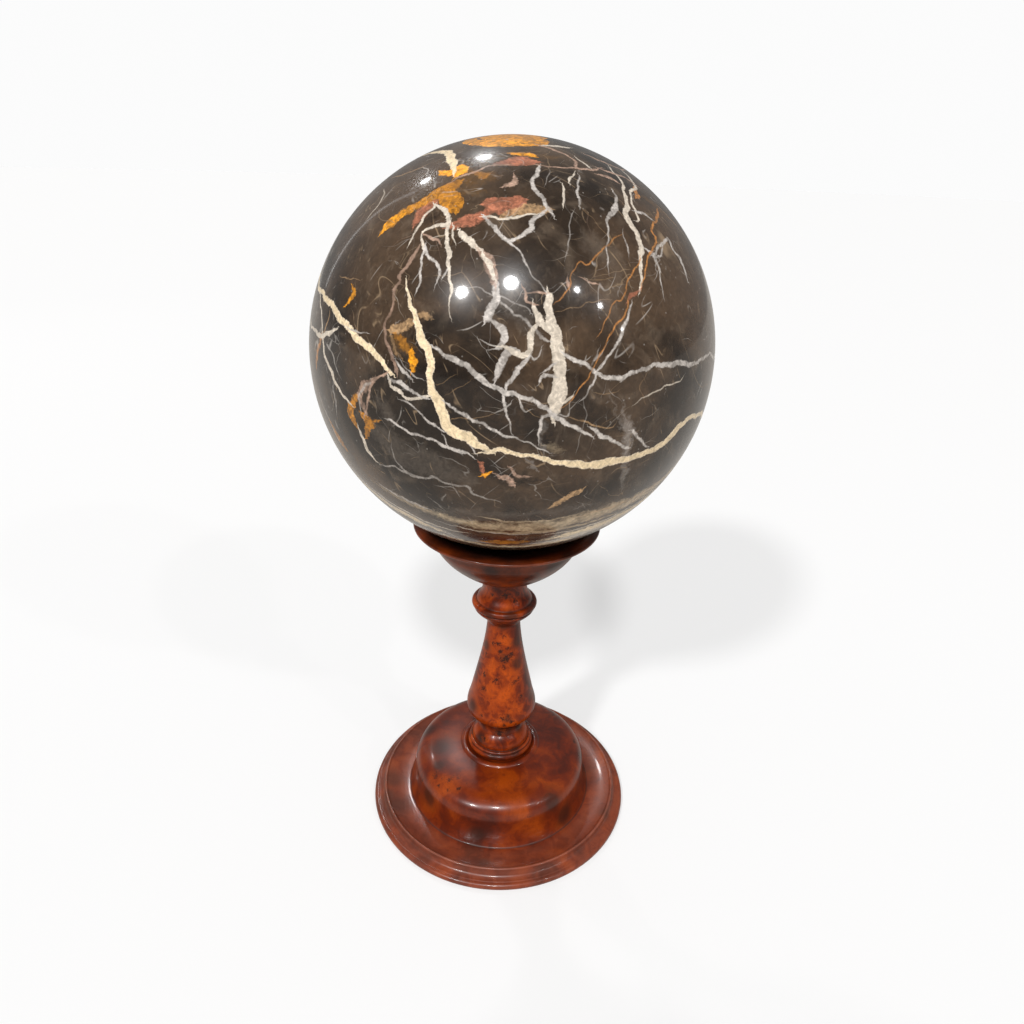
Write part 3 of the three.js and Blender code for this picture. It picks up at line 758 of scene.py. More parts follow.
class VeinLayer:
    """Veins that keep clear of each other, as values at the ball's vertices.

    At each vertex it holds the signed distance to the nearest vein in mm, that vein's half-width, how solid
    it is, and its colour with its cover. The half-width falls to 0 away from the veins.

    Attributes:
        CLEAR: how far past its edge a vein is stored whole, in mm.
        FADE: over how many more mm its half-width falls to 0.
        AWAY: the distance that is stored where no vein is near, in mm.
    """

    CLEAR = 1.2
    FADE = 0.8
    AWAY = 40.0

    def __init__(self, directions: np.ndarray, radius: float) -> None:
        """Starts with no veins.

        Args:
            directions: unit vectors from the ball's centre to its vertices.
            radius: the ball's radius in mm.
        """
        self.directions = directions
        self.radius = radius
        self.lines: list[np.ndarray] = []
        self.reaches: list[float] = []
        self.gap = np.full(len(directions), 1e3)
        self.places = np.zeros((len(directions), 3))
        self.places[:, 0] = self.AWAY
        self.tints = np.zeros((len(directions), 4))

    def has_room(self, line: np.ndarray, reach: float) -> bool:
        """Whether a vein along this line stays clear of those already in the layer."""
        for other, other_reach in zip(self.lines, self.reaches):
            nearest = np.arccos(np.clip((line @ other.T).max(), -1, 1)) * self.radius
            if nearest < reach + other_reach:
                return False
        return True

    def add(self, vein: Vein, line: np.ndarray, widths: np.ndarray) -> None:
        """Draws one vein into the layer.

        The distance is measured across the nearest stretch of the line, with the sign of the side it lies on,
        and past an end it is measured from the end.

        Args:
            vein: the vein.
            line: unit vectors along its middle.
            widths: its half-width at each of them, in mm.
        """
        reach = float(widths.max()) + self.CLEAR + self.FADE
        self.lines.append(line)
        self.reaches.append(reach)
        middle = line.mean(0) / np.linalg.norm(line.mean(0))
        spread = np.arccos(np.clip(line @ middle, -1, 1)).max() + (reach + 3) / self.radius
        near = np.flatnonzero(self.directions @ middle > cos(min(spread, pi)))
        here = self.directions[near]
        nearest = (here @ line.T).argmax(1)
        along = np.gradient(line, axis=0)
        along /= np.linalg.norm(along, axis=1, keepdims=True)
        across = np.cross(line, along)
        side = (here * across[nearest]).sum(1) * self.radius
        run = ((here - line[nearest]) * along[nearest]).sum(1) * self.radius
        beyond = np.where(nearest == len(line) - 1, np.maximum(0, run), 0)
        past = np.where(nearest == 0, np.maximum(0, -run), beyond)
        distance = np.hypot(side, past)
        width = widths[nearest]
        gap = distance - width
        better = gap < self.gap[near]
        rows = near[better]
        width, distance, side = width[better], distance[better], side[better]
        fade = 1 - smooth(width + self.CLEAR, width + self.CLEAR + self.FADE, distance)
        self.gap[rows] = gap[better]
        self.places[rows, 0] = np.where(side < 0, -distance, distance)
        self.places[rows, 1] = width * fade
        self.places[rows, 2] = {Tone.CREAM: 1.0, Tone.IVORY: 0.55}.get(vein.tone, 0.0)
        self.tints[rows, :3] = vein.tone.value
        self.tints[rows, 3] = vein.cover


def vein_line(vein: Vein, radius: float, rng: np.random.Generator) -> tuple[np.ndarray, np.ndarray]:
    """The middle line of a vein and its half-widths, close together along its course.

    The line runs through the course's points on a Catmull-Rom curve, p(t) = half of (2b + (c - a)t +
    (2a - 5b + 4c - d)t^2 + (3b - a - 3c + d)t^3), laid on the ball, and sways to its sides by two sines.

    Args:
        vein: the vein.
        radius: the ball's radius in mm.
        rng: seeded random numbers for the sway.

    Returns:
        Unit vectors along the line, and the half-widths in mm.
    """
    course = np.array(vein.course, float)
    turn, rise = np.radians(course[:, 0]), np.radians(course[:, 1])
    at = np.stack([np.sin(turn) * np.cos(rise), -np.cos(turn) * np.cos(rise), np.sin(rise)], 1)
    knots = np.concatenate([[2 * at[0] - at[1]], at, [2 * at[-1] - at[-2]]])
    length = np.linalg.norm(np.diff(at, axis=0), axis=1) * radius
    steps = np.maximum(2, np.ceil(length / 0.9).astype(int))
    piece = np.repeat(np.arange(len(length)), steps)
    t = np.concatenate([np.arange(n) / n for n in steps] + [[1.0]])[:, None]
    piece = np.append(piece, len(length) - 1)
    a, b, c, d = (knots[piece + k] for k in range(4))
    line = 0.5 * (2 * b + (c - a) * t + (2 * a - 5 * b + 4 * c - d) * t**2 + (3 * b - a - 3 * c + d) * t**3)
    line /= np.linalg.norm(line, axis=1, keepdims=True)
    far = np.concatenate([[0], np.cumsum(np.linalg.norm(np.diff(line, axis=0), axis=1))]) * radius
    across = np.cross(line, np.gradient(line, axis=0))
    across /= np.linalg.norm(across, axis=1, keepdims=True)
    waves = ((0.35, 17), (0.22, 7))
    sway = sum(size * np.sin(far * 2 * pi / wave + rng.uniform(0, 2 * pi)) for size, wave in waves)
    line = line + across * (sway / radius)[:, None]
    line /= np.linalg.norm(line, axis=1, keepdims=True)
    widths = course[piece, 2] * (1 - t[:, 0]) + course[np.minimum(piece + 1, len(course) - 1), 2] * t[:, 0]
    return line, widths


def vein_layers(brush: "Brush", directions: np.ndarray, radius: float, seed: int) -> list[VeinLayer]:
    """Sorts veins into as few layers as it can, so that those in one layer never come close to each other.

    Args:
        brush: the veins, and the hairs that are left out where no layer has room for them.
        directions: unit vectors from the ball's centre to its vertices.
        radius: the ball's radius in mm.
        seed: for the sway of their lines.

    Returns:
        The layers.
    """
    rng = np.random.default_rng(seed)
    layers: list[VeinLayer] = []
    for item in (*brush.veins, *brush.hairs):
        line, widths = vein_line(item, radius, rng)
        reach = float(widths.max()) + VeinLayer.CLEAR + VeinLayer.FADE
        home = next((layer for layer in layers if layer.has_room(line, reach)), None)
        if home is None and item in brush.hairs:
            continue
        if home is None:
            home = VeinLayer(directions, radius)
            layers.append(home)
        home.add(item, line, widths)
    return layers


# ------------------------------------------------------------------------------ marble: its finish


@dataclass(frozen=True)
class Brush:
    """A family of veins that are laid on in the same manner.

    Attributes:
        name: ending of its attributes' names.
        veins: the veins.
        hairs: fine veins that may be left out.
        soft: how wide the fade at an edge is, in mm.
        fill: how many times wider than drawn they are.
        stray: how far an edge strays, about 1.
        broken: how much of a vein that isn't solid is worn away, 0 to 1.
        mottle: how much its colour comes and goes, 0 to 1.
    """

    name: str
    veins: tuple[Vein, ...]
    hairs: tuple[Vein, ...] = ()
    soft: float = 0.4
    fill: float = 1.0
    stray: float = 1.0
    broken: float = 0.5
    mottle: float = 0.4


@dataclass(frozen=True)
class MarbleFinish:
    """Polished dark marble. Colours are linear, and lengths in mm; noise scales are cells to the metre.

    Attributes:
        dark: the darkest ground.
        brown: the common ground.
        haze: the palest cloud in the ground.
        crystal: the white of vein rims and specks.
        thread: the tan of the finest threads.
        ragged: how far a vein's edge strays.
        rim: how wide the pale rim of a solid vein is.
        polish: the roughness under the polished top.
    """

    dark: Colour = (0.014, 0.008, 0.004)
    brown: Colour = (0.080, 0.048, 0.027)
    haze: Colour = (0.190, 0.140, 0.098)
    crystal: Colour = (0.60, 0.55, 0.50)
    thread: Colour = (0.36, 0.25, 0.15)
    ragged: float = 0.8
    rim: float = 0.9
    polish: float = 0.25

    def ground(self, shader: Shader) -> bpy.types.NodeSocket:
        """Cloudy brown ground: broad clouds, veils, two runs of fine streaks, and grain laid over each other.

        Args:
            shader: the material being built.

        Returns:
            The ground's colour.
        """
        clouds = shader.noise(16, 5, 0.8).above(0.38, 0.64)
        ground = shader.mix(clouds, self.dark, self.brown)
        veils = shader.noise(42, 6, 2.4).above(0.50, 0.80)
        ground = shader.mix(veils * 0.38, ground, self.haze)
        streaks = ((0.12, 420.0, 0.47, 0.34), (0.95, 330.0, 0.50, 0.30), (-0.75, 520.0, 0.52, 0.30))
        for lean, scale, low, cover in streaks:
            along = shader.leaning(lean, 9.0)
            lines = shader.noise(scale, 2, 0.3, along).above(0.54, 0.78)
            where = shader.noise(26 + scale / 40, 3, 0.5).above(low, low + 0.16)
            ground = shader.mix(lines * where * cover, ground, self.haze)
        grain = shader.noise(340, 4, 1.0)
        return shader.shade(ground, 0.52 + grain * 0.96)

    def threads(self, shader: Shader, ground: object) -> bpy.types.NodeSocket:
        """Long flowing threads where a noise crosses its middle, hairlines along cell walls, and pale specks.

        Args:
            shader: the material being built.
            ground: the colour beneath.

        Returns:
            The colour with the threads on it.
        """
        for scale, width, low, tone, cover in (
            (19.0, 0.0040, 0.48, self.thread, 0.7),
            (29.0, 0.0052, 0.50, self.crystal, 0.6),
            (44.0, 0.0075, 0.50, self.thread, 0.6),
        ):
            level = shader.noise(scale, 2.5, 0.9, shader.leaning(scale * 0.13, 4.5))
            patchy = shader.noise(scale * 3.1, 3, 0.6).above(low, low + 0.16)
            line = (1 - abs(level - 0.5) / width).clamped() * patchy * cover
            ground = shader.mix(line, ground, tone)
        for scale, width, low, tone, cover in (
            (60.0, 0.010, 0.54, self.thread, 0.5),
            (105.0, 0.016, 0.56, self.crystal, 0.4),
        ):
            warped = shader.shifted(scale * 0.9, 0.25 / scale, shader.leaning(scale * 0.02, 2.4))
            walls = shader.number(
                "ShaderNodeTexVoronoi", {"feature": "DISTANCE_TO_EDGE"}, {"Vector": warped, "Scale": scale}
            )
            patchy = shader.noise(scale * 0.55, 3, 0.6).above(low, low + 0.12)
            line = (1 - walls / width).clamped() * patchy * cover
            ground = shader.mix(line, ground, tone)
        grains = {"Vector": shader.place, "Scale": 420.0}
        cells = shader.node("ShaderNodeTexVoronoi", {"feature": "F1"}, grains)
        chance = shader.number("ShaderNodeSeparateColor", {}, {"Color": cells.outputs["Color"]})
        rare = chance.above(0.90, 0.93)
        speck = (1 - Number(shader, cells.outputs["Distance"]) / 0.20).clamped() * rare
        return shader.mix(speck * 0.5, ground, self.crystal)

    def draw(
        self, shader: Shader, below: object, brush: Brush, number: int, noises: dict[str, Number]
    ) -> tuple[bpy.types.NodeSocket, Number]:
        """Lays one layer of veins over a colour.

        A vein shows where its half-width, swollen by noise, is more than the distance from its swaying
        middle. A vein that isn't solid is worn away in spots, and a solid one has a paler rim.

        Args:
            shader: the material being built.
            below: the colour beneath.
            brush: the manner of drawing.
            number: which of the brush's layers it is.
            noises: the shared noises by name: broad, fine, swell, worn and blotch.

        Returns:
            The new colour, and where the layer covers the ground.
        """
        place = shader.attribute(f"place_{brush.name}_{number}").outputs["Vector"]
        parts = shader.node("ShaderNodeSeparateXYZ", {}, {0: place})
        distance, half, solid = (Number(shader, parts.outputs[axis]) for axis in "XYZ")
        tint = shader.attribute(f"tint_{brush.name}_{number}")
        sway = (noises["broad"] + noises["fine"]) * (self.ragged * brush.stray)
        depth = half * noises["swell"] * brush.fill - abs(distance + sway * (half / 0.9).clamped())
        edge = (depth / (brush.soft * (1.45 - solid * 0.6))).clamped()
        cover = edge * Number(shader, tint.outputs["Alpha"])
        cover = cover * (1 - noises["worn"] * (1 - solid) * brush.broken)
        pale = (1 - depth / self.rim).clamped() * solid.above(0.5, 1.0) * 0.5
        colour = shader.mix(pale, tint.outputs["Color"], self.crystal)
        colour = shader.shade(colour, 1 - brush.mottle + noises["blotch"] * (2 * brush.mottle))
        return shader.mix(cover, below, colour), cover

    def material(self, brushes: Sequence[tuple[Brush, int]]) -> bpy.types.Material:
        """Builds the marble.

        Args:
            brushes: each brush with the number of its layers.

        Returns:
            The material.
        """
        shader = Shader("polished_marble")
        colour = self.ground(shader)
        noises = {
            "broad": (shader.noise(240, 4, 0.6) - 0.5) * 2.6,
            "fine": (shader.noise(900, 4, 0.4) - 0.5) * 1.7,
            "swell": 0.58 + shader.noise(130, 3) * 0.66,
            "worn": shader.noise(210, 5, 1.2).above(0.42, 0.66),
            "blotch": (shader.noise(330, 5, 1.8) * 2.4 - 0.7).clamped(),
        }
        covered = None
        for brush, count in brushes:
            if brush.name == "vein":
                colour = self.threads(shader, colour)
            for number in range(count):
                colour, cover = self.draw(shader, colour, brush, number, noises)
                if brush.name != "patch":
                    covered = cover if covered is None else shader.maths("MAXIMUM", covered, cover)
        crumbs = shader.noise(800, 4, 1.0)
        colour = shader.mix(covered, colour, shader.shade(colour, 0.72 + crumbs * 0.56))
        roughness = self.polish + covered * 0.06 + shader.noise(90, 3) * 0.04
        shader.bump(covered * 0.4 + noises["blotch"] * 0.15, 0.00003)
        return shader.finish(
            colour,
            roughness,
            IOR=1.5,
            Specular_IOR_Level=0.22,
            Coat_Weight=0.52,
            Coat_Roughness=0.07,
            Coat_IOR=1.5,
        )


@dataclass
class MarbleBall:
    """The polished ball, a cube's six faces blown up to a sphere.

    Attributes:
        node: the CAD node that it stands for.
        cells: grid cells along a cube edge.
        finish: its marble.
    """

    node: str = "marble_sphere"
    cells: int = 128
    finish: MarbleFinish = field(default_factory=MarbleFinish)

    def skin(self) -> tuple[Skin, np.ndarray]:
        """Each cube face is a grid of angles a, b, and a point on it is u*tan(a) + v*tan(b) + w, made unit.

        Returns:
            The skin, and the unit vectors to its vertices.
        """
        low, high = (np.array(corner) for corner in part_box(self.node))
        centre, radius = (low + high) / 2, float(high[2] - low[2]) / 2
        angle = np.tan(np.linspace(-pi / 4, pi / 4, self.cells + 1))
        row, column = np.meshgrid(np.arange(self.cells), np.arange(self.cells), indexing="ij")
        rows = np.stack([row, row + 1, row + 1, row], -1).reshape(-1, 4)
        columns = np.stack([column, column, column + 1, column + 1], -1).reshape(-1, 4)
        corner = rows * (self.cells + 1) + columns
        axes = np.eye(3)
        directions, corners, flats = [], [], []
        for face in range(6):
            main, back = face % 3, face >= 3
            across, up = (axes[(main + 1) % 3], axes[(main + 2) % 3])[:: -1 if back else 1]
            out = -axes[main] if back else axes[main]
            grid = angle[:, None, None] * across + angle[None, :, None] * up + out
            directions.append((grid / np.linalg.norm(grid, axis=2, keepdims=True)).reshape(-1, 3))
            corners.append(corner + face * (self.cells + 1) ** 2)
            inner = np.stack([rows, columns], -1) / self.cells * 0.992 + 0.004
            flats.append((inner + [main, int(back)]) / [3, 2])
        every = np.concatenate(directions)
        _, first, merged = np.unique(np.round(every, 7), axis=0, return_index=True, return_inverse=True)
        unit = every[first]
        loops = merged.ravel()[np.concatenate(corners).ravel()]
        sides = np.full(len(loops) // 4, 4)
        flat = np.concatenate(flats).reshape(-1, 2)
        return Skin(unit * radius + centre, loops, sides, flat), unit

    def brushes(self) -> tuple[Brush, ...]:
        """The clouds in the ground first, then the stains, then the veins with their hairs."""
        wild = tuple(WildVeins().grow())
        hairs = tuple(whiskers(VEINS, 5, 130) + whiskers(wild, 6, 70))
        return (
            Brush("patch", PATCHES, soft=2.4, fill=1.2, stray=3.2, broken=0.4, mottle=0.3),
            Brush("stain", STAINS, soft=0.5, fill=1.55, stray=1.7, broken=0.5, mottle=0.6),
            Brush("vein", VEINS + wild, hairs, soft=0.34, fill=1.0, stray=0.9, broken=0.5, mottle=0.32),
        )

    def build(self) -> bpy.types.Object:
        """Makes the ball, stores its veins at its vertices and dresses it."""
        skin, unit = self.skin()
        piece = skin.build("polished_ball")
        radius = float(np.ptp(skin.points[:, 2])) / 2 / MM
        counts = []
        for seed, brush in enumerate(self.brushes()):
            layers = vein_layers(brush, unit, radius, seed)
            for number, layer in enumerate(layers):
                store(piece, f"place_{brush.name}_{number}", layer.places)
                store(piece, f"tint_{brush.name}_{number}", layer.tints)
            counts.append((brush, len(layers)))
            drawn = sum(len(layer.lines) for layer in layers)
            log.info("marble: %d of %s in %d layers", drawn, brush.name, len(layers))
        settle(piece, self.node, self.finish.material(counts))
        return piece


# ------------------------------------------------------------------------------ turned wood: outlines


def arc(r: float, z: float, radius: float, start: float, end: float, spacing: float) -> np.ndarray:
    """Points (r + radius*cos, z + radius*sin) between two angles in degrees; 0 points away from the axis.

    Args:
        r: the centre's distance from the axis, in mm.
        z: the centre's height, in mm.
        radius: the arc's radius, in mm.
        start: the first angle.
        end: the last angle.
        spacing: how far apart the points are, in mm.

    Returns:
        One row of (r, z) for each point.
    """
    steps = max(4, ceil(abs(radians(end - start)) * radius / spacing))
    angle = np.radians(np.linspace(start, end, steps + 1))
    return np.stack([r + radius * np.cos(angle), z + radius * np.sin(angle)], 1)


def curve(start: Point, pull: Point, draw: Point, end: Point, spacing: float) -> np.ndarray:
    """Points of a cubic curve, (1-t)^3*start + 3(1-t)^2*t*pull + 3(1-t)*t^2*draw + t^3*end.

    Args:
        start: where it starts, as (r, z) in mm.
        pull: the handle that it leaves the start towards.
        draw: the handle that it comes to the end from.
        end: where it ends.
        spacing: how far apart the points are, in mm.

    Returns:
        One row of (r, z) for each point.
    """
    span = hypot(pull[0] - start[0], pull[1] - start[1]) + hypot(draw[0] - pull[0], draw[1] - pull[1])
    span += hypot(end[0] - draw[0], end[1] - draw[1])
    t = np.linspace(0, 1, max(3, ceil(span / spacing)) + 1)[:, None]
    corners = [np.array(point) for point in (start, pull, draw, end)]
    weights = [(1 - t) ** 3, 3 * (1 - t) ** 2 * t, 3 * (1 - t) * t**2, t**3]
    return sum(weight * corner for weight, corner in zip(weights, corners))


def joined(*stretches: np.ndarray | list[Point]) -> np.ndarray:
    """One outline from several stretches, without the points that two stretches share."""
    points = np.concatenate([np.asarray(stretch, float) for stretch in stretches])
    moved = np.linalg.norm(np.diff(points, axis=0), axis=1) > 1e-6
    return points[np.concatenate([[True], moved])]


def flat_disc(height: float, radius: float, spacing: float, outwards: bool) -> np.ndarray:
    """Points along a flat face between the axis and a radius, at one height."""
    reach = np.linspace(0, radius, max(2, ceil(radius / spacing)) + 1)
    points = np.stack([reach, np.full_like(reach, height)], 1)
    return points if outwards else points[::-1]


def turned_skin(outline: np.ndarray, around: int) -> Skin:
    """The skin of an outline turned round the Z axis: (r*cos(a), r*sin(a), z) for a over a full turn.

    Args:
        outline: (r, z) in mm, from the axis up the outside and back to the axis.
        around: how many steps make a full turn.

    Returns:
        The closed skin, with a fan of triangles at each end of the axis.
    """
    rings = outline[1:-1]
    turn = np.arange(around) * (2 * pi / around)
    rim = np.stack([np.cos(turn), np.sin(turn)], 1)
    heights = np.broadcast_to(rings[:, None, 1:], (len(rings), around, 1))
    wall = np.concatenate([rings[:, None, :1] * rim, heights], 2)
    ends = np.array([[0, 0, outline[0, 1]], [0, 0, outline[-1, 1]]])
    points = np.concatenate([wall.reshape(-1, 3), ends]) * MM
    ring, step = np.meshgrid(np.arange(len(rings) - 1), np.arange(around), indexing="ij")
    rows = np.stack([ring, ring, ring + 1, ring + 1], -1).ravel()
    columns = np.stack([step, step + 1, step + 1, step], -1).ravel()
    steps = np.arange(around)
    low, high, top = len(rings) * around, len(rings) * around + 1, (len(rings) - 1) * around
    ahead = (steps + 1) % around
    under = np.stack([np.full(around, low), ahead, steps], 1).ravel()
    over = np.stack([np.full(around, high), top + steps, top + ahead], 1).ravel()
    corners = np.concatenate([rows * around + columns % around, under, over])
    sides = np.concatenate([np.full(len(rows) // 4, 4), np.full(2 * around, 3)])
    run = np.concatenate([[0], np.cumsum(np.linalg.norm(np.diff(outline, axis=0), axis=1))])
    height = (run / run[-1])[1:-1]
    wall_flat = np.stack([columns / around, height[rows]], 1)
    fans = []
    for end, edge, orders in ((0, height[0], (0.5, 1, 0)), (1, height[-1], (0.5, 0, 1))):
        across = np.stack([steps + order for order in orders], 1).ravel() / around
        fans.append(np.stack([across, np.tile([end, edge, edge], around)], 1))
    flat = np.concatenate([wall_flat, *fans])
    return Skin(points, corners, sides, flat)


def outline_bend(outline: np.ndarray, reach: float) -> np.ndarray:
    """How sharply the outline bends at each point: above 0 on a bead's crest, below 0 in a groove.

    The bend is the change of the outline's direction in radians between reach mm behind and reach mm ahead.

    Args:
        outline: (r, z) in mm.
        reach: how far to each side it looks.

    Returns:
        One number for each point.
    """
    run = np.concatenate([[0], np.cumsum(np.linalg.norm(np.diff(outline, axis=0), axis=1))])

    def heading(shift: float) -> np.ndarray:
        """Direction of the outline a little way on, in radians."""
        ahead = [np.interp(run + shift + reach / 2, run, outline[:, k]) for k in (0, 1)]
        behind = [np.interp(run + shift - reach / 2, run, outline[:, k]) for k in (0, 1)]
        return np.arctan2(ahead[1] - behind[1], ahead[0] - behind[0])

    turn = heading(reach / 2) - heading(-reach / 2)
    return (turn + pi) % (2 * pi) - pi


# ------------------------------------------------------------------------------ turned wood: its finish


class Figure(Enum):
    """What a mark in the burr is."""

    EYE = "eye"
    SMOKE = "smoke"
    GLOW = "glow"


@dataclass(frozen=True)
class Mark:
    """A mark in the wood.

    Attributes:
        figure: what it is.
        turn: where it is round the piece in degrees; 0 faces the front and it grows to the right.
        height: its height in mm.
        size: its radius in mm.
    """

    figure: Figure
    turn: float
    height: float
    size: float


def placed(figure: Figure, *places: tuple[float, float, float]) -> list[Mark]:
    """Marks of one kind, each given by its turn, height and size."""
    return [Mark(figure, *place) for place in places]


def scatter(figure: Figure, seed: int, count: int, heights: Point, sizes: Point, turns: Point) -> list[Mark]:
    """Marks of one kind strewn from a fixed seed.

    Args:
        figure: their kind.
        seed: where the random numbers start.
        count: how many.
        heights: lowest and highest, in mm.
        sizes: smallest and largest radius, in mm.
        turns: the angles they lie between, in degrees.

    Returns:
        The marks.
    """
    rng = np.random.default_rng(seed)
    values = [rng.uniform(*span, count) for span in (turns, heights, sizes)]
    return [Mark(figure, *map(float, row)) for row in zip(*values)]


@dataclass(frozen=True)
class BurrFinish:
    """Lacquered burr wood. Colours are linear, and scales are cells to the metre.

    Attributes:
        name: the material's name.
        bright: the lit orange figure.
        body: the common red-brown.
        deep: the dark figure between.
        ink_and_shade: eyes, and the painted shade in grooves and under the ball.
        smoky: the middle of a smoky patch.
        worn: the pale colour of the painted sheen on crests and on the foot's outer ring.
        figure: scale of the swirling figure.
        burl: how strongly the small curls stand out, about 1.
        gleam: how strongly the lacquer shines, 0 to 1.
        gloss: the lacquer's roughness.
    """

    name: str
    bright: Colour
    body: Colour
    deep: Colour
    # dark colour of the eyes, and of the painted shade in grooves and under the ball
    ink_and_shade: Colour = (0.016, 0.005, 0.003)
    smoky: Colour = (0.032, 0.009, 0.005)
    # the pale colour of the painted sheen
    worn: Colour = (0.30, 0.10, 0.060)
    figure: float = 90.0
    burl: float = 0.55
    gleam: float = 0.36
    gloss: float = 0.24

    def material(self) -> bpy.types.Material:
        """Builds the wood: slow tone, curly figure, fibres, smoke, ragged eyes, painted sheen on crests,
        painted shade in grooves.
        """
        shader = Shader(self.name)
        names = ("eye", "smoke", "glow", "bend", "dust", "soot")
        read = [Number(shader, shader.attribute(name).outputs["Fac"]) for name in names]
        eye, smoke, glow, bend, dust, soot = read
        curly = shader.shifted(self.figure * 0.6, 0.5 / self.figure)
        slow = shader.noise(self.figure * 0.42, 4, 0.8)
        curl = shader.noise(self.figure * 1.1, 4, 1.4, curly)
        fibre = shader.noise(self.figure * 7, 3, 1.6, shader.leaning(0.25, 5.0))
        value = slow * 1.5 + (curl - 0.5) * self.burl + glow * 0.36 - 0.38
        tone = shader.mix(value.above(0.08, 0.48), self.deep, self.body)
        tone = shader.mix(value.above(0.34, 0.88), tone, self.bright)
        rings = shader.maths("SINE", curl * 26 + slow * 18) * 0.5 + 0.5
        tone = shader.shade(tone, (0.72 + fibre * 0.56) * (1.04 - rings.above(0.3, 1.0) * (self.burl * 0.14)))
        flecks = shader.noise(self.figure * 3.6, 4, 2.4, curly).above(0.58, 0.72)
        tone = shader.mix(flecks * (glow * 0.9 + eye * 1.5).clamped() * 0.7, tone, self.smoky)
        cloud = (smoke * 1.1 + curl * 0.9 + slow * 0.4 - 0.74).above(0.08, 0.85)
        tone = shader.mix(cloud * 0.8, tone, self.smoky)
        ragged = eye * 0.85 + ((shader.noise(330, 5, 2.6, curly) - 0.5) * 2.6) * (eye * 3).clamped()
        halo = ragged.above(0.10, 0.34) * (1 - ragged.above(0.34, 0.6))
        tone = shader.mix(halo * 0.3, tone, self.bright)
        tone = shader.mix(ragged.above(0.30, 0.95) * 0.9, tone, self.ink_and_shade)
        # painted sheen: crests and the ring beyond the sheen radius are made paler, as where a broad sheen
        # lies
        pale = (bend.above(0.5, 1.6) * 0.3 + dust * 0.28) * (0.2 + curl * 1.6)
        tone = shader.mix(pale.clamped(), tone, self.worn)
        # painted shade: where the outline bends inwards the colour is darkened, as shade in a groove
        groove_shade = (0 - bend).above(0.25, 1.1)
        tone = shader.mix(groove_shade * 0.7, tone, self.ink_and_shade)
        # painted shade: the top under the ball is painted near black
        tone = shader.mix(soot * 0.93, tone, self.ink_and_shade)
        roughness = self.gloss + shader.noise(45, 4) * 0.12 + groove_shade * 0.2
        shader.bump(shader.noise(70, 3) * 0.8 + fibre * 0.06, 0.00012)
        return shader.finish(
            tone,
            roughness,
            IOR=1.5,
            Specular_IOR_Level=self.gleam,
            Coat_Weight=self.gleam * 0.5,
            Coat_Roughness=0.07,
            Coat_IOR=1.5,
        )


@dataclass
class TurnedPiece:
    """One piece from the lathe.

    Attributes:
        name: the piece's name.
        node: the CAD node that it stands for.
        slot: the record's material slot, not used.
        outline: (r, z) in mm, from the axis up the outside and back to the axis.
        around: steps in a full turn.
        finish: its wood.
        marks: eyes, smoky patches and bright patches in the wood.
        sheen_radius: the radius in mm beyond which a pale painted sheen is laid on.
        seat_shade_radius: the radius in mm within which the top is painted near black, as painted shade under
            the ball.
        EYE_SPREAD: how much wider an eye's mark reaches than its size.
    """

    name: str
    node: str
    slot: str
    outline: np.ndarray
    around: int
    finish: BurrFinish
    marks: Sequence[Mark]
    sheen_radius: float = 400.0
    seat_shade_radius: float = -10.0

    EYE_SPREAD = 1.8

    def build(self) -> bpy.types.Object:
        """Turns the piece, stores its figure at its vertices and dresses it."""
        skin = turned_skin(self.outline, self.around)
        piece = skin.build(self.name)
        for figure, values in self.figures(skin.points / MM).items():
            store(piece, figure.value, values)
        bend = outline_bend(self.outline, 1.2)
        whole = np.concatenate([np.repeat(bend[1:-1], self.around), bend[[0, -1]]])
        store(piece, "bend", whole)
        reach = np.hypot(*(skin.points[:, :2] / MM).T)
        # painted sheen: beyond the radius the colour is made paler
        store(piece, "dust", smooth(self.sheen_radius, self.sheen_radius + 7, reach))
        # painted shade: near the top and inside the radius the colour is painted near black, as the shade
        # under the ball
        above = skin.points[:, 2] / MM > self.outline[:, 1].max() - 7
        store(piece, "soot", np.where(above, 1 - smooth(self.seat_shade_radius, self.seat_shade_radius + 6, reach), 0.0))
        settle(piece, self.node, self.finish.material())
        return piece

    def figures(self, points: np.ndarray) -> dict[Figure, np.ndarray]:
        """How strong each figure is at each vertex.

        A mark is 1 at its middle and falls as (1 + (d / size)^2)^-power, with d the distance from it and a
        higher power for an eye; where marks meet, the stronger one counts.

        Args:
            points: the vertices' places in mm.

        Returns:
            One array for each figure.
        """
        found = {figure: np.zeros(len(points)) for figure in Figure}
        for mark in self.marks:
            nearest = np.abs(self.outline[1:-1, 1] - mark.height)
            level = np.where(nearest < nearest.min() + 0.6, self.outline[1:-1, 0], 0).argmax()
            radius = self.outline[1:-1][level, 0]
            turn = radians(mark.turn)
            middle = np.array([radius * sin(turn), -radius * cos(turn), mark.height])
            size, power = (mark.size * self.EYE_SPREAD, 2) if mark.figure is Figure.EYE else (mark.size, 1.5)
            strength = 1 / (1 + ((points - middle) ** 2).sum(1) / size**2)
            found[mark.figure] = np.maximum(found[mark.figure], strength**power)
        return found


# ------------------------------------------------------------------------------ the stand's pieces


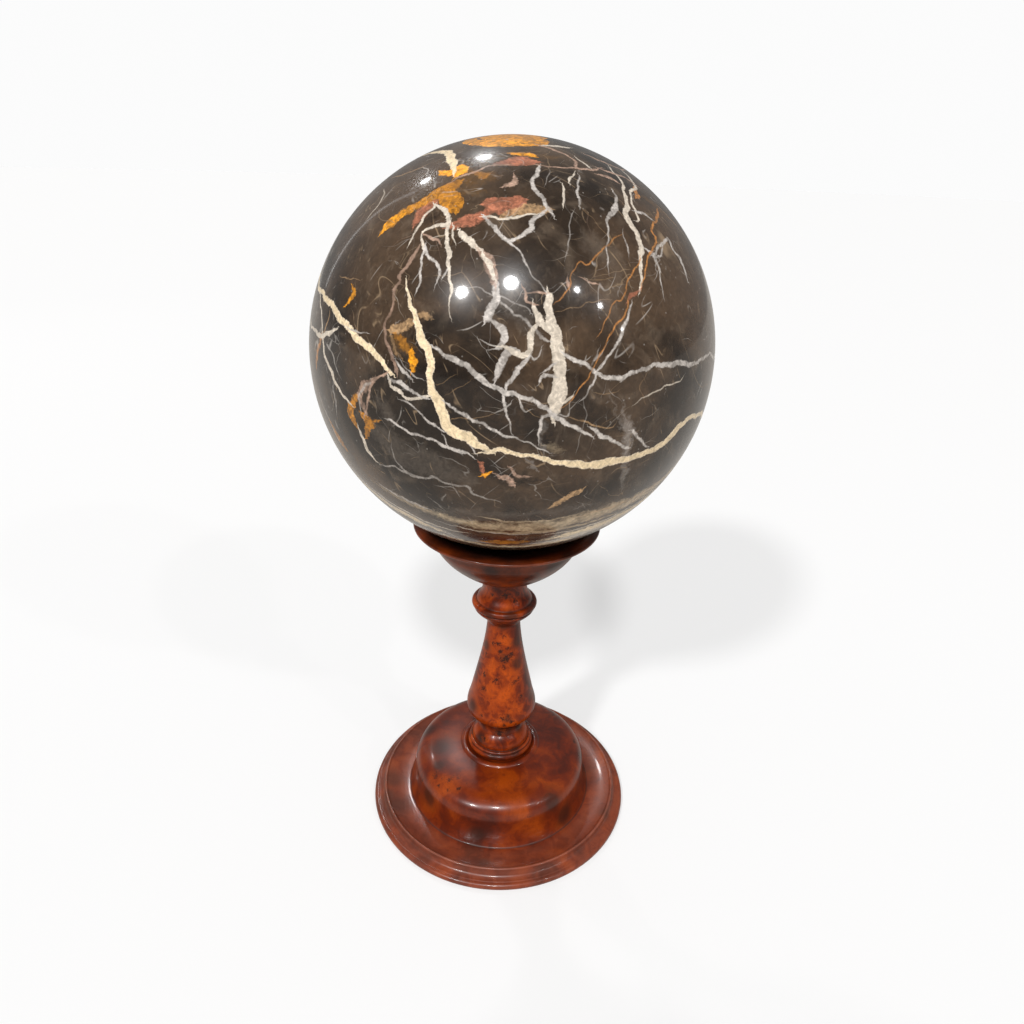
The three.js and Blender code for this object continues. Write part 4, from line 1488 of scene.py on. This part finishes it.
@dataclass
class Stand:
    """The three turned pieces under the ball. Lengths in mm.

    Attributes:
        socket: height of the foot's socket floor.
        cup_joint: height of the stem's flat top.
        gap: clearance between two pieces.
        foot_radius: the foot at its bead.
        belly: the baluster's widest radius.
        collar: the collar's radius.
        cup: the cup's radius at its lip.
    """

    socket: float = 38.9
    cup_joint: float = 163.6
    gap: float = 0.3
    foot_radius: float = 82.7
    belly: float = 21.7
    collar: float = 19.3
    cup: float = 52.5

    def foot_outline(self, spacing: float = 0.85) -> np.ndarray:
        """Bead, cove and riser, the dished ring, the dome and the soft ring round the socket."""
        bead, height = 2.2, 1.7
        bead_radius, riser = self.foot_radius - bead, self.foot_radius - 6.4
        floor_angle = -float(np.degrees(np.arcsin(height / bead)))
        fine = 0.3
        return joined(
            flat_disc(0, bead_radius + bead * cos(radians(floor_angle)), 5, True),
            arc(bead_radius, height, bead, floor_angle, 100, fine),
            curve((bead_radius - 0.6, 4.2), (77.8, 4.6), (76.6, 5.4), (riser, 6.6), fine),
            arc(riser - 1.2, 9, 0.8, -10, 150, 0.2),
            curve((74.1, 9.1), (70, 7.6), (65, 6.7), (59, 7), spacing),
            curve((59, 7), (55.8, 12), (55.3, 18.5), (55.2, 23.5), spacing),
            curve((55.2, 23.5), (55, 31.5), (50.5, 34.8), (43, 36.2), spacing),
            curve((43, 36.2), (36, 37.5), (30, 37.8), (25.4, 38.6), spacing),
            curve((25.4, 38.6), (24.6, 39.9), (22.4, 40.3), (21.3, self.socket), fine),
            flat_disc(self.socket, 21.3, 3, False),
        )

    def stem_outline(self, spacing: float = 0.6) -> np.ndarray:
        """Double bead and cushion, the small neck, the baluster, the collar and the neck under the cup."""
        base = self.socket + self.gap
        fine = 0.3
        return joined(
            flat_disc(base, 18.8, 3, True),
            arc(18.8, base + 1.9, 1.9, -90, 75, fine),
            arc(18.6, 43.9, 1, -40, 110, 0.2),
            curve((17.9, 44.9), (18.3, 48.6), (15.9, 51.8), (14, 53.6), spacing),
            curve((14, 53.6), (12.8, 55.4), (12.7, 60), (14, 62.6), spacing),
            curve((14, 62.6), (17, 64.6), (21.6, 64.8), (self.belly, 71.8), spacing),
            curve((self.belly, 71.8), (21.7, 75.2), (20.2, 78.6), (19.4, 82), spacing),
            curve((19.4, 82), (16.4, 96), (10.9, 116), (9.85, 133.5), spacing),
            curve((9.85, 133.5), (10.6, 136.6), (15.4, 139.4), (17.4, 142.4), spacing),
            arc(16.8, 143.3, 1.1, -30, 60, 0.2),
            arc(self.collar - 1.9, 146.5, 1.9, -60, 100, fine),
            curve((16.4, 148.8), (16, 151.6), (13.3, 153), (13.1, 156.8), spacing),
            curve((13.1, 156.8), (13.1, 159.6), (13.7, 161.6), (14, self.cup_joint), spacing),
            flat_disc(self.cup_joint, 14, 3, False),
        )

    def cup_outline(self, spacing: float = 0.7) -> np.ndarray:
        """The bowl, the thin lip rolling inwards, and the seat hollowed to the ball's own curve."""
        base = self.cup_joint + self.gap
        low, high = (np.array(corner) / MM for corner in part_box("marble_sphere"))
        seat_radius = (high[2] - low[2]) / 2 + self.gap
        seat = arc(0, float(low[2] + high[2]) / 2, seat_radius, -72.5, -90, 1.5)
        seat[-1, 0] = 0
        edge = (float(seat[0, 0]), float(seat[0, 1]))
        return joined(
            flat_disc(base, 15.2, 3, True),
            curve((15.2, base), (25, 170), (37.5, 178.5), (41.3, 188.5), spacing),
            curve((41.3, 188.5), (42.4, 192.6), (43.2, 197.8), (self.cup - 1, 198.4), spacing),
            arc(self.cup - 0.9, 199.4, 0.9, -60, 80, 0.2),
            curve((self.cup - 0.8, 200.3), (48.4, 202.3), (edge[0] + 7, edge[1] + 2.1), edge, spacing),
            seat,
        )

    def foot(self) -> TurnedPiece:
        """The foot: dark red-brown, cloudy, with one bright knot of eyes on its left shoulder."""
        marks = placed(
            Figure.EYE, (-54, 34.7, 1.7), (-42, 36.0, 1.7), (-38, 37.1, 1.3), (-32, 35.7, 1.4),
            (-28, 37.0, 1.0), (-38, 33.8, 1.2), (-48, 35.6, 1.2), (-46, 33.0, 1.0), (96, 34.0, 1.6),
        )
        marks += placed(
            Figure.GLOW, (-41, 36.2, 8.0), (18, 27.6, 9.0), (26, 20.0, 8.0), (40, 37.5, 9.0),
            (6, 37.8, 8.0), (-30, 24.0, 7.0),
        )
        marks += placed(
            Figure.SMOKE, (-80, 37.4, 9.0), (-52, 22.0, 7.0), (-12, 14.5, 7.0), (38, 29.0, 8.0),
            (48, 14.0, 8.0), (-6, 7.5, 5.0), (-66, 7.5, 9.0), (-84, 7.5, 8.0), (66, 9.0, 5.0),
            (-60, 36.5, 5.0),
        )
        marks += scatter(Figure.EYE, 21, 26, (8, 38), (0.9, 1.7), (80, 300))
        marks += scatter(Figure.SMOKE, 22, 12, (6, 37), (5, 10), (80, 290))
        marks += scatter(Figure.GLOW, 23, 9, (6, 36), (6, 11), (80, 290))
        finish = BurrFinish(
            name="burr_wood_foot",
            bright=(0.30, 0.046, 0.002),
            body=(0.140, 0.016, 0.002),
            deep=(0.058, 0.008, 0.003),
        )
        # beyond 57 mm the foot's outer ring is given a pale painted sheen
        return TurnedPiece(
            "turned_foot", "stand_foot", "burr_foot", self.foot_outline(), 480, finish, marks, sheen_radius=57
        )

    def stem(self) -> TurnedPiece:
        """The stem: bright orange-brown burr with dark eyes in clusters."""
        marks = placed(
            Figure.EYE, (8, 113.0, 2.2), (-6, 117.5, 1.6), (24, 115.0, 1.8), (4, 107.5, 1.4),
            (-52, 112.0, 1.3), (-14, 122.0, 1.2), (-14, 98.5, 1.9), (28, 97.0, 1.7), (-44, 99.5, 1.5),
            (40, 98.5, 1.2), (-40, 91.0, 1.8), (42, 86.5, 1.1), (2, 75.0, 1.6), (12, 76.5, 1.3),
            (18, 72.0, 1.2), (6, 69.0, 1.3), (26, 68.5, 1.1), (-34, 74.0, 1.0), (-32, 122.0, 1.1),
            (2, 128.0, 1.4), (5, 158.0, 1.7), (26, 154.0, 1.4), (-34, 157.0, 1.3), (-2, 56.5, 2.0),
            (-36, 51.0, 1.3), (14, 119.5, 1.2),
        )
        marks += placed(
            Figure.GLOW, (10, 104.0, 9.0), (4, 90.0, 9.0), (2, 71.0, 7.0), (-22, 104.0, 5.0),
            (8, 124.0, 4.0), (24, 78.0, 6.0), (-30, 52.0, 3.5), (4, 151.0, 3.0),
        )
        marks += placed(
            Figure.SMOKE, (42, 108.0, 5.0), (50, 122.0, 5.0), (0, 135.0, 4.5), (20, 58.0, 5.0),
            (-58, 76.0, 5.0), (62, 148.0, 5.0), (0, 57.5, 5.0), (-46, 50.0, 5.0), (30, 44.0, 5.0),
            (60, 56.0, 5.0), (-12, 41.0, 5.0), (-60, 60.0, 5.0), (12, 147.0, 5.0), (-28, 146.0, 5.0),
            (50, 146.0, 5.0), (5, 113.0, 4.0), (-60, 118.0, 4.0), (12, 74.0, 3.0),
        )
        marks += scatter(Figure.EYE, 31, 60, (42, 160), (0.9, 2.0), (75, 285))
        marks += scatter(Figure.GLOW, 32, 16, (44, 158), (4, 9), (75, 285))
        marks += scatter(Figure.SMOKE, 33, 12, (42, 160), (3, 6), (75, 285))
        finish = BurrFinish(
            name="burr_wood_stem",
            bright=(0.41, 0.060, 0.002),
            body=(0.19, 0.021, 0.001),
            deep=(0.06, 0.007, 0.002),
            figure=120,
            burl=1.0,
            gleam=0.2,
        )
        return TurnedPiece(
            "turned_stem", "stand_stem", "burr_stem", self.stem_outline(), 256, finish, marks
        )

    def cup_piece(self) -> TurnedPiece:
        """The cup: duller brown, redder on its lip."""
        marks = placed(
            Figure.GLOW, (-62, 199.5, 10.0), (-38, 199.5, 6.0), (0, 174.0, 7.0),
        )
        marks += placed(
            Figure.SMOKE, (22, 184.0, 6.0), (40, 190.0, 8.0), (-10, 190.0, 5.0),
        )
        marks += placed(
            Figure.EYE, (18, 183.0, 2.4), (-24, 178.0, 1.3), (30, 180.0, 1.8),
        )
        marks += scatter(Figure.EYE, 41, 26, (168, 198), (1.0, 1.9), (60, 300))
        marks += scatter(Figure.GLOW, 42, 9, (168, 199), (5, 9), (70, 290))
        marks += scatter(Figure.SMOKE, 43, 8, (168, 199), (5, 9), (70, 290))
        finish = BurrFinish(
            name="burr_wood_cup",
            bright=(0.23, 0.036, 0.004),
            body=(0.110, 0.018, 0.004),
            deep=(0.045, 0.009, 0.004),
            gleam=0.26,
        )
        # the cup's top within 45.5 mm of the axis is painted near black as painted shade under the ball
        return TurnedPiece(
            "turned_cup", "stand_cup", "burr_cup", self.cup_outline(), 420, finish, marks, seat_shade_radius=45.5
        )

    def build(self) -> list[bpy.types.Object]:
        """Builds the foot, the stem and the cup."""
        return [piece.build() for piece in (self.foot(), self.stem(), self.cup_piece())]


# ------------------------------------------------------------------------------ studio


def bearing(turn: float, rise: float) -> Vector:
    """The unit vector towards a lamp: turn degrees round from the front to the right, and rise degrees up."""
    turn, rise = radians(turn), radians(rise)
    return Vector((sin(turn) * cos(rise), -cos(turn) * cos(rise), sin(rise)))


@dataclass(frozen=True)
class FarLamp:
    """A round soft lamp so far away that it lights the whole floor evenly.

    Attributes:
        name: its name.
        turn: degrees round from the front, growing to the right.
        rise: degrees above the level.
        breadth: how wide it looks, in degrees.
        strength: in watts to the square metre.
    """

    name: str
    turn: float
    rise: float
    breadth: float
    strength: float

    def hang(self, target: Vector) -> None:
        """Hangs the lamp so that it shines towards the target."""
        light = bpy.data.lights.new(self.name, "SUN")
        light.energy = self.strength
        light.angle = radians(self.breadth)
        lamp = bpy.data.objects.new(self.name, light)
        way = bearing(self.turn, self.rise)
        lamp.location = target + way * 2
        lamp.rotation_euler = way.to_track_quat("Z", "Y").to_euler()
        bpy.context.scene.collection.objects.link(lamp)


@dataclass(frozen=True)
class NearLamp:
    """A lamp close enough to show its shape in the polish.

    Attributes:
        name: its name.
        turn: degrees round from the front, growing to the right.
        rise: degrees above the level of the ball's middle.
        width: its width in metres.
        height: its height in metres, or 0 for a round lamp.
        power: in watts.
        away: how far from the ball's middle, in metres.
    """

    name: str
    turn: float
    rise: float
    width: float
    height: float
    power: float
    away: float = 1.8

    def hang(self, target: Vector) -> None:
        """Hangs the lamp and turns it to the target."""
        light = bpy.data.lights.new(self.name, "AREA")
        light.shape = "RECTANGLE" if self.height else "DISK"
        light.size = self.width
        if self.height:
            light.size_y = self.height
        light.energy = self.power
        lamp = bpy.data.objects.new(self.name, light)
        way = bearing(self.turn, self.rise)
        lamp.location = target + way * self.away
        lamp.rotation_euler = way.to_track_quat("Z", "Y").to_euler()
        bpy.context.scene.collection.objects.link(lamp)


@dataclass
class Studio:
    """The floor, the lamps, the room and the camera.

    Attributes:
        floor_radius: the pale floor's radius in metres.
        floor_tone: its linear grey, on which the shadows fall.
        floor_glow: the light that it gives of its own, which keeps the shadows faint.
        floor_bounce: the dimmer grey that it throws back on to the pieces.
        room: the linear colour that the room lights the pieces with.
        backdrop: the linear colour of the wall behind them.
        lamps: the soft lamps.
        eye: the camera's place in metres.
        dip: how far the camera looks down, in degrees.
        swing: how far it looks to the side, in degrees.
        lean: how far it leans over, in degrees.
        lens: its focal length in mm on a 36 mm frame.
    """

    floor_radius: float = 14.0
    floor_tone: Colour = (0.52, 0.52, 0.52)
    floor_glow: Colour = (0.41, 0.41, 0.41)
    floor_bounce: Colour = (0.58, 0.55, 0.51)
    room: Colour = (0.27, 0.265, 0.26)
    backdrop: Colour = (0.97, 0.97, 0.97)
    lamps: tuple[FarLamp | NearLamp, ...] = (
        FarLamp("front_lamp_left", -34.5, 40.5, 5.5, 1.32),
        FarLamp("front_lamp_right", -2.5, 49.0, 6.5, 1.58),
        FarLamp("right_lamp_high", 43, 42.0, 2.5, 0.22),
        FarLamp("right_lamp_low", 54, 32.0, 2.2, 0.15),
        FarLamp("back_lamp_middle", -167, 46.5, 3.5, 0.26),
        FarLamp("back_lamp_left", -144, 42.0, 3.0, 0.12),
        NearLamp("side_strip", -133, 24.0, 0.04, 1.3, 0.35),
        NearLamp("small_lamp", 61, 19.0, 0.04, 0.0, 0.3),
    )
    eye: tuple[float, float, float] = (0.0, -0.3772, 0.3855)
    dip: float = 25.6
    swing: float = -0.37
    lean: float = 1.8
    lens: float = 26.16

    def lay_floor(self) -> None:
        """A pale disc just under the foot."""
        turn = np.arange(96) * (2 * pi / 96)
        rim = np.stack([np.cos(turn), np.sin(turn), np.zeros(96)], 1) * self.floor_radius
        mesh = bpy.data.meshes.new("studio_floor")
        mesh.from_pydata(rim.tolist(), [], [list(range(96))])
        floor = bpy.data.objects.new("studio_floor", mesh)
        bpy.context.scene.collection.objects.link(floor)
        shader = Shader("studio_floor")
        grain = shader.noise(3, 2)
        seen = shader.number("ShaderNodeLightPath", {}, {}, "Is Camera Ray")
        tone = shader.mix(seen, self.floor_bounce, self.floor_tone)
        glow = shader.mix(seen, (0.0, 0.0, 0.0), self.floor_glow)
        shader.feed(shader.surface.inputs["Emission Color"], glow)
        shader.feed(shader.surface.inputs["Emission Strength"], 1.0)
        shader.material.cycles.emission_sampling = "NONE"
        floor.data.materials.append(shader.finish(tone, 0.78 + grain * 0.08))

    def light(self, target: Vector) -> None:
        """Hangs the lamps and gives the room its dim light."""
        for lamp in self.lamps:
            lamp.hang(target)
        world = bpy.data.worlds.new("studio_room")
        bpy.context.scene.world = world
        world.use_nodes = True
        tree = world.node_tree
        seen = tree.nodes.new("ShaderNodeLightPath").outputs["Is Camera Ray"]
        choice = tree.nodes.new("ShaderNodeMix")
        choice.data_type = "RGBA"
        tree.links.new(seen, choice.inputs[0])
        choice.inputs[6].default_value = (*self.room, 1.0)
        choice.inputs[7].default_value = (*self.backdrop, 1.0)
        tree.links.new(choice.outputs[2], tree.nodes["Background"].inputs["Color"])

    def aim_camera(self) -> None:
        """Sets the camera up in front, looking down on the ball's shoulder."""
        camera = bpy.data.cameras.new("studio_camera")
        camera.lens = self.lens
        camera.sensor_width = 36.0
        stand = bpy.data.objects.new("studio_camera", camera)
        turns = ((90 - self.dip, "X"), (self.swing, "Y"), (self.lean, "Z"))
        pitch, yaw, roll = (Matrix.Rotation(radians(angle), 4, axis) for angle, axis in turns)
        stand.matrix_world = Matrix.Translation(self.eye) @ pitch @ yaw @ roll
        bpy.context.scene.collection.objects.link(stand)
        bpy.context.scene.camera = stand

    def build(self) -> None:
        """Sets up the whole studio round the ball."""
        low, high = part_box("marble_sphere")
        self.lay_floor()
        self.light((low + high) / 2)
        self.aim_camera()
        bpy.context.scene.view_settings.view_transform = "Standard"


def main() -> None:
    """Builds the ball, the stand and the studio."""
    logging.basicConfig(level=logging.INFO, format="%(name)s: %(message)s")
    MarbleBall().build()
    Stand().build()
    Studio().build()
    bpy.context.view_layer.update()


if __name__ == "__main__":
    main()
